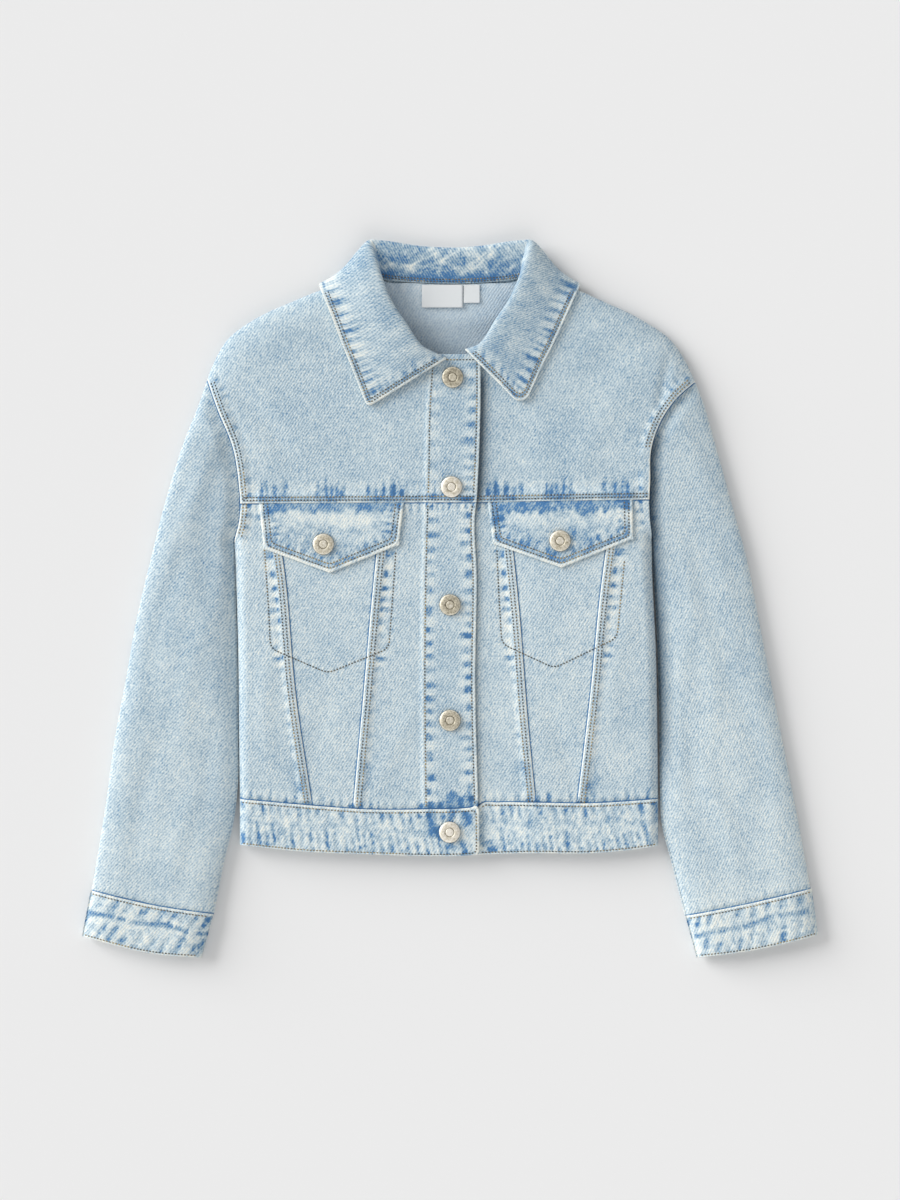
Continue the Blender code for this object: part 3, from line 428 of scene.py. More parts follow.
def back_height(plan, folds=BODY_FOLDS):
    """Lower face: flat on the floor, raised over the collar's fall, rolled up to the folds and creased."""
    x, y = np.abs(plan[..., 0]), plan[..., 1]
    rise = FALL_LIFT * rising(y, 222, 20) * fading(x, 104, 22)
    share = roll_up(plan, [(line, BACK_ROLL, BACK_ROLL, over) for line, _, _, over in folds])
    return rise + (FOLD - rise) * (1 - share) + np.maximum(creased(plan, BACK_CREASES), 0) * share, share


def new_mesh(name, points, faces, **values):
    """Mesh through points (mm), with a named attribute for each of these sets of values."""
    mesh = bpy.data.meshes.new(name)
    mesh.from_pydata(points.reshape(-1, 3) * MM, [], faces)
    for layer, each in values.items():
        mesh.attributes.new(layer, "FLOAT", "POINT").data.foreach_set(
            "value", np.ravel(each).astype(np.float32))
    return mesh


def new_piece(name, mesh, material):
    """Smooth piece of the jacket in this material, which moves with its one body."""
    mesh.shade_smooth()
    mesh.materials.append(material)
    piece = bpy.data.objects.new(name, mesh)
    bpy.context.scene.collection.objects.link(piece)
    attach(piece, "root")
    return piece


def cloth(name, points, wash, facing="up",
          grain=None, wall=WALL, material=washed_denim, lining=None, closed=False, offset=-1, shade=0.0):
    """Sheet through a grid of points (mm) with its wash and its grain map, given its wall by Solidify.

    Squares with a corner that is not a number are left out. `facing` names the side that the wall grows
    away from: up, down, or out from the middle. The grain map is in mm across and along the warp. Where the
    cloth dips into a gap too narrow to be lit, `shade` is the painted shade there, and where the wash runs
    past its darkest tone, mostly in the thin lines under lapped edges, painted contact shade is added. The
    sheet stands for the solid of its name.
    """
    rows, columns = points.shape[:2]
    index = np.arange(rows * columns).reshape(rows, columns)
    after = np.roll(index, -1, axis=1) if closed else index[:, 1:]
    before = index if closed else index[:, :-1]
    faces = np.stack((before[:-1], after[:-1], after[1:], before[1:]), axis=-1).reshape(-1, 4)
    through = points.reshape(-1, 3)
    grain = points[..., :2] if grain is None else grain
    faces = faces[np.isfinite(through).all(1)[faces].all(1)]
    used, faces = np.unique(faces, return_inverse=True)
    faces, through, grain = faces.reshape(-1, 4), through[used], grain.reshape(-1, 2)[used]
    corners = through[faces]
    normal = np.cross(corners[:, 2] - corners[:, 0], corners[:, 3] - corners[:, 1])
    outwards = {"up": normal[:, 2], "down": -normal[:, 2],
                "out": (normal * (corners.mean(1) - through.mean(0))).sum(1)}[facing]
    if outwards.sum() < 0:
        faces = faces[:, ::-1]
    # Painted contact shade where the wash runs past its darkest tone, mostly the thin lines under lapped
    # edges.
    shade = shade + 0.5 * np.clip(-1.15 - wash, 0, 0.8)
    wash, shade = (np.broadcast_to(values, (rows, columns)).ravel()[used] for values in (wash, shade))
    mesh = new_mesh(name, through, faces.tolist(), wash=wash, shade=shade)
    mesh.uv_layers.new(name="grain").data.foreach_set("uv", (grain[faces] * MM).ravel().astype(np.float32))
    piece = new_piece(f"{name}_cloth", mesh, material)
    solid = piece.modifiers.new("wall", "SOLIDIFY")
    solid.thickness = wall * MM
    solid.offset = offset
    if lining:
        mesh.materials.append(lining)
        solid.material_offset = 1
    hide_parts(name)
    return piece


def with_heights(plan, height):
    """Grid of points: a plan grid and the heights over it."""
    return np.concatenate((plan, height[..., None]), axis=-1)


def noise_along(length, pitch, seed):
    """Unevenness along a seam, from 0 to 1, that changes over this pitch."""
    return patchy(length / pitch, 0 * length, seed)


def puckers(gap, length, reach=9.0, pitch=11.0, seed=1, start=0.0, lean=0.0, blue=0.7, pale=0.3):
    """Marks that washing leaves beside a stitched line. Where the seam draws in, its hollows keep patches
    of indigo, at a wandering pitch and each with its own strength and reach, and the crests between them
    bleach. Gives the wash, and the height of the crests."""
    gap, length = np.nan_to_num(gap, nan=99.0), np.nan_to_num(length)
    strong, far, first = np.random.default_rng(seed).random((3, 128))
    run = length + lean * gap
    phase = run / pitch + 0.3 * np.sin(run / pitch / 1.7 + 6 * first[0]) + 0.16 * np.sin(
        run / pitch / 0.8 + 6 * first[1])
    each = np.round(phase).astype(int) % 127
    hollow = rising(np.cos(2 * np.pi * phase), -0.3, 0.95)
    ends = reach * (0.45 + 0.9 * far[each])
    near_by = rising(gap - start, -0.6, 1.2)
    fade = near_by * fading(gap - start, 0.4 * ends, 0.6 * ends)
    mottled = 0.25 + 1.5 * patchy(length / 2.8, gap / 2.8, seed + 7)
    bleached = near_by * fading(gap - start, 0.5 * reach, 0.8 * reach)
    wash = pale * bleached * (1 - hollow) - blue * (0.25 + 0.95 * strong[each]) * hollow * fade * mottled
    return wash, 0.22 * fade * (0.5 - hollow)


def worn(gap, length, width=0.8, seed=3):
    """Ivory wear along a folded edge, of an uneven width."""
    return 0.8 * fading(gap, width * (0.4 + 0.9 * noise_along(length, 5, seed)), 0.8)


def tucked(gap, length, seed=4):
    """Unworn indigo in the thin line where a piece dives under its neighbour's edge. Its deepest part also
    becomes painted contact shade in cloth().
    """
    return -(1.1 + 0.8 * noise_along(length, 6, seed)) * fading(gap, 0.3, 1.1)


def lap(gap, height=1.05):
    """Rise of a felled seam: full height over its folded allowance, easing back into the panel, with the
    outermost millimetre rounded down."""
    return height * fading(gap, 5, 6) - 0.55 * rounding(gap, 0.8)


def marked(plan, marks):
    """Height and wash that seams give a panel. A mark is its kind, its line, a seed, its strength and the
    puckers' own values: fold is a lapping folded edge, under the edge it covers, row a row of stitches."""
    rise, wash, relief = (np.zeros(plan.shape[:-1]) for _ in range(3))
    for kind, line, seed, strength, values in marks:
        gap, length = near(plan, line)
        if kind == "fold":
            rise = np.maximum(rise, 0) + lap(gap, 1.05 * strength - np.maximum(rise, 0) * (gap < 11))
            wash += strength * 1.1 * worn(gap, length, 0.65, seed)
        elif kind == "under":
            wash += tucked(gap, length, seed)
        else:
            relief -= 0.2 * bell(gap, 0, 0.9)
        tone, crest = puckers(gap, length, seed=seed, **values)
        wash += tone
        relief += crest
    return rise + relief, wash


back_sides = {side: join(curves["armhole"], curves["side"]) for side, curves in CURVES.items()}
top = join(CURVES["right"]["shoulder"][::-1], NECK, CURVES["left"]["shoulder"])
plan = run_on(patch(WAIST, top, back_sides["right"][::-1], back_sides["left"][::-1],
                    spacing(350, coarse=3.4), spacing(390, coarse=3.4)), "bottom")
plan[:2, :, 0] *= TUCK
height, share = back_height(plan)
waist_gap, waist_length = near(plan, WAIST)
_, wash = marked(plan, [("fold", curves["armhole"], 11, 1, {"start": 5}) for curves in CURVES.values()]
                 + [("row", NECK, 12, 1, {"blue": 0.3})])
wash += tucked(waist_gap, waist_length, 13)
height += 2.3 * fading(waist_gap, 3, 8) * share
cloth("back_panel", with_heights(plan, height), wash,
      facing="down", lining=denim_inside)

# --- Sleeves ----------------------------------------------------------------------------------------
# Two pieces of the same twill for each arm, a top sleeve and an under sleeve, joined along both folds.
# Their cap is sewn under the body's folded armhole edge, so that each lies lower beside it.
TIP = 0.997  # the sleeves stop this short of the point of the shoulder
SLEEVE_TUCK = 0.965  # the allowance inside the cuff is drawn in to this share of its width
SLEEVE_TURN = 9  # the warp runs down the arm, turned by this angle from the jacket's length (degrees)


def grain_along(plan, angle):
    """Grain map of a piece whose warp is turned by this angle (degrees) from the jacket's length."""
    turn = np.radians(angle)
    x, y = plan[..., 0], plan[..., 1]
    return np.stack((x * np.cos(turn) + y * np.sin(turn), y * np.cos(turn) - x * np.sin(turn)), axis=-1)


for side, sign in SIDES:
    curves = CURVES[side]
    inner = join(curves["armhole"], curves["sleeve_inner"])[::-1]
    outer = curves["sleeve_outer"][::-1]
    tip = np.array((outer[-1], outer[-1]))
    rows, columns = spacing(470, coarse=2.6) * TIP, spacing(95, fine=1.4, coarse=2.6)
    plan = patch(curves["cuff_seam"], tip, outer, inner, columns, rows)
    armhole_share = 1 - along(curves["sleeve_inner"])[-1] / along(inner)[-1]
    plan = run_on(plan, "right", ALLOWANCE * rising(rows, 1 - armhole_share, 0.03) + 0.02)
    plan = run_on(plan, "bottom")
    middle = plan[:2].mean(axis=1, keepdims=True)
    plan[:2] = middle + (plan[:2] - middle) * SLEEVE_TUCK
    cuff_gap, arm_gap = near(plan, curves["cuff_seam"])[0], near(plan, curves["armhole"])[0]
    beside = near(plan, join(stretch(curves["armhole"], 0.42, 1), curves["side"]))[0]
    y = plan[..., 1]
    for name, field, facing in (("top_sleeve", front_height, "up"), ("under_sleeve", back_height, "down")):
        height, share = field(plan, SLEEVE_FOLDS)
        relief, wash = marked(plan, [
            ("under", curves["armhole"], 21, 1, {"reach": 6, "start": 2, "blue": 0.25, "pale": 0.1}),
            ("under", curves["cuff_seam"], 22, 1,
             {"reach": 9, "pitch": 8, "start": 1.5, "blue": 0.3, "pale": 0.1})])
        wash += 0.1 * rising(-y, 0, 150) + 0.12 * bell(cuff_gap, 0, 25)
        # Beside the body the sleeve dips out of the light, and its shade there is painted: on the wearer's
        # left a narrow dark gap, painted also as a bluer wash, and on the right a broad soft trough.
        if side == "left":
            shade = 0.8 * fading(beside, 0, 17) * fading(y, 120, 40) * rising(y, -190, 90)
            wash -= 0.3 * fading(beside, 0, 12)
        else:
            shade = 0.2 * bell(beside, 14, 15) * fading(y, 120, 30) * rising(y, -160, 230)
        wash += 0.22 * fading(near(plan, outer)[0], 0, 2.5)
        if facing == "up":
            dip = 3.4 * fading(arm_gap, 0, 15) + 0.9 * fading(cuff_gap, 1, 3)
            height += (relief - dip) * share
        else:
            height += (1.1 * fading(arm_gap, 2, 6) + 2.3 * fading(cuff_gap, 2, 8)) * share
        # The wearer's right sleeve, which the key light reaches more, is painted a little darker and the
        # left a little lighter: painted shade and painted light.
        cloth(f"{name}_{side}", with_heights(plan, height), wash + 0.03 * sign,
              facing=facing,
              grain=grain_along(plan, SLEEVE_TURN * sign), shade=shade)

# --- Front panels -----------------------------------------------------------------------------------
# Three panels between the yoke and the waistband on each side. The outer and the inner one are folded
# over the middle one and sewn down with two rows, and their upper and lower edges run under the yoke
# and the waistband. At the centre front the panel runs on as a placket with its facing turned under.
YOKE_AT_ARMHOLE, YOKE_LEVEL = {"right": 81.0, "left": 84.5}, 82.0  # y of the yoke seam's two ends
# The wearer's right placket: the line of its inner stitches, and its free edge
PLACKET_SEAM = ((-14, 205), (-17, 161), (-18, 110), (-20.4, 26), (-21.4, -57), (-20.4, -178.5))
PLACKET_EDGE = ((26, 205), (25.8, 161), (23.6, 100), (22.7, 84), (21.6, 76), (22.7, 19), (21.5, -69),
                (24, -175.7))
PLACKET_SIDE = 21.9  # no point of the placket line is farther than this from the middle
EDGE_ROW = 3.2  # the placket's outer row of stitches lies this far inside its edge
BAND_PROUD = 0.8  # rise of the doubled placket and of the bands
UNDER_DROP = 2.2  # drop of the wearer's left front where it lies under the right
YOKE_DROP = 1.2  # and how much farther its yoke drops there
PLACKET_WALLS = 2.7  # the placket with its facing
FACING_EDGE = 3.0  # the facing's inner edge lies this far inside its stitches
# Flat width, length and area of each panel as cut, with its allowances and the centre one's facing
PANEL_CUTS = {"front_side_panel": (0.071, 0.268, 0.0143), "front_middle_panel": (0.102, 0.270, 0.0194),
              "front_centre_panel": (0.151, 0.271, 0.0345)}
# The row of stitches that holds each pocket bag
POCKETS = {
    "right": ((-157.5, 42), (-154, -9), (-152.4, -42), (-103.7, -63), (-52, -42), (-48.6, 2.5), (-46, 41)),
    "left": ((148, 32), (141.7, -33), (88.4, -58.7), (43.9, -38), (41.5, 2.5), (39.7, 43)),
}


def yoke_line(side):
    """The yoke seam from the armhole to the placket line, and on the right on to the front edge."""
    curves = CURVES[side]
    start = at(curves["armhole"], [fraction_at(curves["armhole"], 1, YOKE_AT_ARMHOLE[side])])[0]
    end = at(curves["front_edge"], [fraction_at(curves["front_edge"], 1, YOKE_LEVEL)])[0]
    return np.array((start, end, (23, YOKE_LEVEL)) if side == "right" else (start, end))


YOKES = {side: yoke_line(side) for side in CURVES}
YOKE_ENDS = {side: fraction_at(CURVES[side]["armhole"], 1, YOKE_AT_ARMHOLE[side]) for side in CURVES}


def front_face(plan, side):
    """Height of the front's outer face: the wearer's left goes down towards the centre, under the right."""
    height, share = front_height(plan)
    if side == "left":
        height = height - UNDER_DROP * fading(plan[..., 0], 25, 60)
        height = height - YOKE_DROP * fading(plan[..., 0], 25, 22) * rising(plan[..., 1], 80, 20)
    return height, share


def with_placket(plan, side, bottom):
    """Carries a panel's plan grid on from the placket line to the front edge, in columns level with its
    rows. Rows above the line's upper end get none. Gives the grid, and the number of columns added."""
    line = plan[:, -1]
    edge = smooth_curve(PLACKET_EDGE) if side == "right" else smooth_curve(PLACKET_SEAM) + (2, 0)
    reached = line[:, 1] <= line[:, 1][np.abs(line[:, 0]) < PLACKET_SIDE].max() + 0.01
    low, high = line[0, 1], line[reached, 1].max()
    y = np.where(reached, bottom + (line[:, 1] - low) / (high - low) * (high - bottom), np.nan)
    front = np.stack((np.interp(y, edge[::-1, 1], edge[::-1, 0]), y), axis=1)
    steps = spacing(42)[1:]
    added = line[:, None] + (front - line)[:, None] * steps[None, :, None]
    return np.concatenate((plan, added), axis=1), len(steps)


def placket_rise(plan, wash):
    """Raise and wash of the placket: a ridge where the facing ends, a ladder of indigo patches beside
    each row of stitches, a worn front edge, and unworn corners above the waistband."""
    line, edge = smooth_curve(PLACKET_SEAM), smooth_curve(PLACKET_EDGE)
    x, y = plan[..., 0], plan[..., 1]
    inside = x - np.interp(y, line[::-1, 1], line[::-1, 0])
    rise = BAND_PROUD * rising(inside + FACING_EDGE, -1, 1.5)
    length = y + 400
    ridge = bell(inside + FACING_EDGE, 0.9, 0.8) * (0.3 + 0.8 * noise_along(length, 9, 5))
    ladder, crest_in = puckers(np.where(inside > 0, inside, 99), length, 9, 12.6, 31, start=0.8,
                               blue=0.78, pale=0.4)
    gap, along_edge = near(plan, edge)
    second, crest_out = puckers(gap, along_edge, 11, 11.4, 32, start=3.6, blue=1.05, pale=0.4)
    above = rising(y, 82, 10)  # the yoke's part of the placket is marked less
    ladder = ladder * (1 - 0.8 * above * (ladder < 0))
    second = second * (1 - 0.5 * above * (second < 0))
    strip = 0.6 * fading(gap, 1.5, 1.0) * (0.6 + 0.5 * noise_along(along_edge, 6, 33))
    # Unworn places above the waistband: middle x, half width, height
    height = 3 + sum(rise * bell(x, middle, width) for middle, width, rise in
                     ((-15, 6, 3), (2, 7, 11), (16, 4.5, 13)))
    ragged = height * (0.7 + 0.6 * patchy(x / 3 + 99, y / 5 + 99, 34))
    corner = fading(near(plan, WAIST)[0], ragged, 3)
    on_top = rising(inside, -8, 6)
    wash = wash + 0.5 * ridge + ladder + second + strip - 0.8 * corner * on_top
    wash = wash - 0.1 * rising(inside, 0, 4)
    crest = crest_in + crest_out - 0.3 * rounding(gap, 0.8)
    return rise + crest - 0.3 * bell(gap, EDGE_ROW, 0.9), wash


def turned_under(points, wash, shade, count):
    """Adds the facing behind a placket: its columns again from the front edge back, one fold lower."""
    back = points[:, -count - 1:][:, ::-1][:, 1::3] - (0, 0, PLACKET_WALLS - WALL)
    return (np.concatenate((points, back), axis=1),
            *(np.pad(values, ((0, 0), (0, back.shape[1])), mode="edge") for values in (wash, shade)))


def shade_beside_placket(plan, side):
    """Painted shade on the wearer's left front beside the placket's edge: a thin dark line, and above the
    yoke seam, where the front hangs lower, a wider painted shade that fades over 50 mm."""
    beside = plan[..., 0] - np.interp(plan[..., 1], *smooth_curve(PLACKET_EDGE)[::-1, ::-1].T)
    high = rising(plan[..., 1], 60, 40)
    shade = (0.45 + 0.1 * high) * fading(beside, 0.6, 1.6 + 2.4 * high)
    shade += high * (0.32 * fading(beside, 0, 12) + 0.12 * fading(beside, 0, 50))
    return np.clip(shade * fading(plan[..., 1], 180, 20) * (side == "left"), 0, 0.8)


for side, curves in CURVES.items():
    yoke = YOKES[side]
    front = stretch(curves["front_edge"], fraction_at(curves["front_edge"], 1, YOKE_LEVEL), 1)
    below = stretch(curves["armhole"], YOKE_ENDS[side], 1)
    edges = {"side": join(below, curves["side"]), "outer": curves["outer_seam"],
             "inner": curves["inner_seam"], "centre": front}
    pocket = np.array(POCKETS[side], float)
    for name, first, second, width in (("front_side_panel", "side", "outer", 45),
                                       ("front_middle_panel", "outer", "inner", 75),
                                       ("front_centre_panel", "inner", "centre", 45)):
        left, right = edges[first][::-1], edges[second][::-1]
        x = np.linspace(left[0, 0], right[0, 0], 30)
        waist = np.stack((x, np.interp(x, WAIST[:, 0], WAIST[:, 1])), axis=1)
        waist[0], waist[-1] = left[0], right[0]
        upper = np.array((left[-1], right[-1]))
        rows, columns = spacing(255, coarse=2.2), spacing(width, coarse=2.2)
        plan = patch(waist, upper, left, right, columns, rows)
        if name == "front_middle_panel":
            plan = run_on(run_on(plan, "left"), "right")
        plan = run_on(run_on(plan, "top"), "bottom")
        plan[:2, :, 0] *= TUCK
        if second == "centre":
            plan, count = with_placket(plan, side, plan[0, -1, 1])
        height, share = front_face(plan, side)
        x, y, waist_gap = plan[..., 0], plan[..., 1], near(plan, WAIST)[0]
        under_yoke = fading(y, yoke[0, 1] - 9, 6)
        free = under_yoke * rising(waist_gap, 2, 7)
        marks = [("under", yoke, 41, 1, {"reach": 9, "pitch": 6, "start": 1.0, "blue": 0.75}),
                 ("under", WAIST, 42, 1, {"reach": 9, "pitch": 8.5, "start": 0.5, "blue": 0.6}),
                 ("row", pocket, 43, 1, {"reach": 4, "pitch": 9, "start": 0.5, "blue": 0.22, "pale": 0.16})]
        if name == "front_middle_panel":
            marks += [("under", curves[line], 44, 1, {"blue": 0.08, "pale": 0.05}) for line in
                      ("outer_seam", "inner_seam")]
        else:
            seam_line = curves["outer_seam" if first == "side" else "inner_seam"]
            marks.append(("fold", seam_line, 46, free,
                          {"reach": 5, "pitch": 12.6, "start": 7, "blue": 0.28}))
            # Between the V seam's rows and the pocket's row, a ladder of indigo patches.
            seam_gap, seam_length = near(plan, seam_line)
            pocket_gap = near(plan, pocket)[0]
            beside = rising(y - pocket[3 if side == "right" else 2, 1], 2, 6)
            foot = bell(seam_gap, 9, 6) * fading(y, -155, 25)
        if first == "side":
            open_seam = under_yoke * (0.15 if side == "left" else 1)
            marks.append(("fold", below, 47, open_seam,
                          {"reach": 8, "pitch": 9, "start": 5, "blue": 0.5}))
        relief, wash = marked(plan, marks)
        if name != "front_middle_panel":
            rungs, _ = puckers(seam_gap, seam_length, 10, 11.2, 48, start=7.2, blue=1.1, pale=0.4)
            outside = rising(seam_gap, 7, 1.5) * rising(pocket_gap, 0.3, 1.2) * (seam_gap < 18)
            wash += rungs * outside * beside - 0.9 * foot * patchy(x / 5 + 60, y / 9 + 60, 49)
        height += (relief - 0.9 * fading(waist_gap, 1, 3)) * share
        if second == "centre" and side == "right":
            rise, wash = placket_rise(plan, wash)
            height += rise
        points, shade = with_heights(plan, height), 0.0
        if second == "centre":
            points, wash, shade = turned_under(points, wash, shade_beside_placket(plan, side), count)
        across, up, area = PANEL_CUTS[name]
        cloth(f"{name}_{side}", points, wash + 0.07,
              shade=shade)

# --- Yokes ------------------------------------------------------------------------------------------
# One piece a side from the shoulder fold down to the yoke seam, where its edge is folded under and
# sewn over the panels and the top of the flap with two rows. It is also folded over the sleeve's cap.

# The flaps' upper corners, and the corners and the point of their lower edge
FLAPS = {
    "right": {"top": ((-162, 81), (-39, 82)), "tip": ((-158, 42.5), (-102, 22), (-43.4, 46))},
    "left": {"top": ((32, 82), (154.9, 85)), "tip": ((36.6, 46.8), (94.4, 26.4), (155.4, 51.2))},
}
for side, curves in CURVES.items():
    yoke = YOKES[side]
    armhole = stretch(curves["armhole"], 0, YOKE_ENDS[side])
    centre = stretch(curves["front_edge"], 0, fraction_at(curves["front_edge"], 1, YOKE_LEVEL))
    inner = join(curves["neckline"], centre)
    plan = patch(yoke[:2], curves["shoulder"][::-1], armhole[::-1], inner[::-1],
                 spacing(160, coarse=2.2), spacing(225, coarse=2.2))
    plan, count = with_placket(plan, side, YOKE_LEVEL)
    height, share = front_face(plan, side)
    # On the wearer's left the body hangs over its armhole seam, which shows only above and below.
    x, y = plan[..., 0], plan[..., 1]
    seen = rising(y, 118, 12) + fading(y, 104, 8) if side == "left" else np.ones(plan.shape[:-1])
    relief, wash = marked(plan, [
        ("fold", yoke, 51, 1, {"blue": 0, "pale": 0}),
        ("fold", armhole, 52, seen, {"reach": 9, "pitch": 10, "start": 5.5, "blue": 0.4, "pale": 0.15})])
    # Above the yoke seam the marks come in stretches: streaks of indigo, and bleached cloth between them.
    seam_gap, seam_length = near(plan, yoke)
    (start, _), (end, _) = FLAPS[side]["top"]
    over_flap = rising(x, start - 4, 4) * fading(x, end, 4)
    stretches = rising(noise_along(seam_length, 19, 53), 0.2, 0.25) * (0.35 + 0.65 * over_flap)
    streaks, crest = puckers(seam_gap, seam_length, 15, 6.4, 54, start=5.6, blue=1.0, pale=0.25)
    pale_zone = rising(seam_gap, 6, 2) * fading(seam_gap, 12, 9)
    pale_zone = pale_zone * (0.3 + 0.7 * patchy(seam_length / 7, seam_gap / 6, 55))
    wash += streaks * (0.15 + 0.85 * stretches) + 0.45 * pale_zone * (1 - 0.8 * stretches)
    wash -= 0.3 * fading(np.abs(seam_gap - 4.2), 0, 3) * noise_along(seam_length, 9, 56)
    ragged = 6 + 17 * patchy(seam_length / 3, seam_gap / 40, 57) * (
        0.25 + 0.9 * noise_along(seam_length, 13, 59))
    mottled = 0.35 + 0.9 * patchy(seam_length / 4, seam_gap / 4, 58)
    wash -= 0.75 * stretches * fading(seam_gap, ragged, 6) * mottled
    relief += crest
    armhole_gap, armhole_length = near(plan, armhole)
    if side == "left":
        wash += 0.8 * fading(y, 125, 10) * worn(armhole_gap, armhole_length, 0.9, 60)
    height += relief * share + 1.25 * over_flap * fading(y - yoke[0, 1], 5, 8)
    if side == "right":
        rise, wash = placket_rise(plan, wash)
        height += rise
    points, wash, shade = turned_under(with_heights(plan, height), wash, shade_beside_placket(plan, side), count)
    cloth(f"front_yoke_{side}", points, wash - (0.05 if side == "left" else 0.03),
          shade=shade)

# --- Pocket bags and flaps --------------------------------------------------------------------------
# Each bag is one layer of pocketing behind the front, held by the stitches that show. Its flap is two
# layers of denim sewn round with two rows, caught under the yoke and buttoned down over the mouth.

# The bags' corners, in the same order as the flaps'
BAGS = {
    "right": {"top": ((-156, 78), (-44, 78)), "tip": ((-151, -42), (-103.7, -62), (-53, -42))},
    "left": {"top": ((38, 79), (148, 79)), "tip": ((44.5, -38), (88.4, -58), (141, -33))},
}
BAG_GAP = 0.35  # the bags lie this far under the front
FLAP_ROWS = (3.5, 7.0)  # the rows of stitches inside a flap's edge
FLAP_BUTTONS = {"right": (-107.4, 46.4), "left": (93.3, 49.3)}
# Cotton pocketing: a smooth unbleached plain weave.
pocketing = new_material("cotton_pocketing", Base_Color=linear("#D9D6CC"), Roughness=0.9)[0]


def five_sided(shape, rows, columns):
    """Plan grid of a pocket piece: straight top and sides, and a lower edge that comes to a point."""
    top, tip = np.array(shape["top"], float), np.array(shape["tip"], float)
    return patch(tip, top, np.array((tip[0], top[0])), np.array((tip[-1], top[-1])), columns, rows)


def rounded(points, radius=4.0, steps=5):
    """Polyline with its inner corners rounded: each is replaced by a quadratic arc between its sides."""
    points = np.array(points, float)
    made = [points[:1]]
    t = np.linspace(0, 1, steps)[:, None]
    for before, corner, after in zip(points, points[1:], points[2:]):
        a = corner + (before - corner) * radius / np.linalg.norm(before - corner)
        b = corner + (after - corner) * radius / np.linalg.norm(after - corner)
        made.append((1 - t) ** 2 * a + 2 * t * (1 - t) * corner + t**2 * b)
    return np.vstack(made + [points[-1:]])


for side, shape in FLAPS.items():
    plan = five_sided(BAGS[side], np.linspace(0, 1, 24), np.linspace(0, 1, 24))
    height, _ = front_face(plan, side)
    cloth(f"pocket_bag_{side}", with_heights(plan, height - WALL - BAG_GAP), 0,
          material=pocketing, wall=0.6)

    plan = five_sided(shape, spacing(40, fine=1.1, coarse=1.3), spacing(125, fine=1.2, coarse=1.8))
    plan = run_on(plan, "top")
    height, share = front_face(plan, side)
    low, point, high = np.array(shape["tip"], float)
    outline = rounded(np.array((shape["top"][0], low, point, high, shape["top"][1])))
    gap, length = near(plan, outline)
    yoke_x, yoke_y = YOKES[side][0]
    top_gap = yoke_y - plan[..., 1] + (plan[..., 0] - yoke_x) * 0.01
    tone, crest = puckers(gap, length, 9, 6.5, 61, start=7.4, blue=0.5, pale=0.2)
    body = 1.2 + 1.5 * rising(top_gap, -1, 8)
    round_off = 0.7 * rounding(gap, 1.1)
    groove = 0.3 * sum(bell(gap, row, 0.9) for row in FLAP_ROWS)
    ring = np.hypot(plan[..., 0] - FLAP_BUTTONS[side][0], plan[..., 1] - FLAP_BUTTONS[side][1])
    height += body - round_off + crest - groove - 0.5 * bell(ring, 0, 16)
    x, y = plan[..., 0] + 400, plan[..., 1] + 400
    wash = 0.95 * fading(gap, 1.5 + noise_along(length, 6, 62), 0.8) + tone
    wash -= 0.36 * fading(np.abs(gap - 5.2), 0, 2.8) * (0.4 + noise_along(length, 5, 70))
    # Just under the yoke the flap keeps its indigo, with a ragged lower end, and bleaches below that.
    shallow, deep, corner = (2.5, 7.0, 5.0) if side == "right" else (3.5, 10.0, 13.0)
    ragged = shallow + deep * patchy(x / 3, y / 30, 63) * (0.3 + patchy(x / 19, y / 90, 66))
    ragged += corner * fading(plan[..., 0], shape["top"][0][0], 26)
    wash -= 0.85 * fading(top_gap, ragged, 5) * (0.4 + 0.8 * patchy(x / 3, y / 3, 67))
    below = top_gap - ragged
    wash += 0.6 * rising(below, 1, 3) * fading(below, 9, 8) * patchy(x / 14, y / 9, 64)
    wash -= 0.32 * bell(ring, 12, 5) * patchy(x / 6, y / 6, 65)
    wash -= 0.32 * fading(gap, 12, 6) * rising(top_gap, 12, 8) * patchy(x / 5, y / 7, 71) - 0.08
    wash += 0.6 * (patchy(x / 8, y / 8, 68) - 0.5) + 0.6 * (patchy(x / 3.2, y / 3.2, 69) - 0.5)
    cloth(f"pocket_flap_{side}", with_heights(plan, height), wash - (0.02 if side == "right" else 0.2),
          wall=1.1)

# --- Cuffs and waistband ----------------------------------------------------------------------------
# Doubled bands of denim, sewn over the ends of the sleeves and of the body with a row near each edge.
# Washing has shrunk their threads, so they are puckered all over between the rows.
OVER_END, UNDER_END = 25.0, -19.0  # where the waistband's ends lie, the right one over the left
BAND_WALL, BAND_RISE = 2.2, 1.5  # thickness, and rise above the front it is sewn on
UPPER_ROW, LOWER_ROW = 2.6, 1.7  # the rows of stitches inside a band's two edges
CUFF_WIDER = 1.014  # the doubled cuff stands out past the sleeve by this share of its width
# How blue the patches and the broken middle line of each cuff are, and how pale the rest is
CUFF_WASH = {"right": (0.85, 0.85, 0.24), "left": (0.68, 0.65, 0.27)}


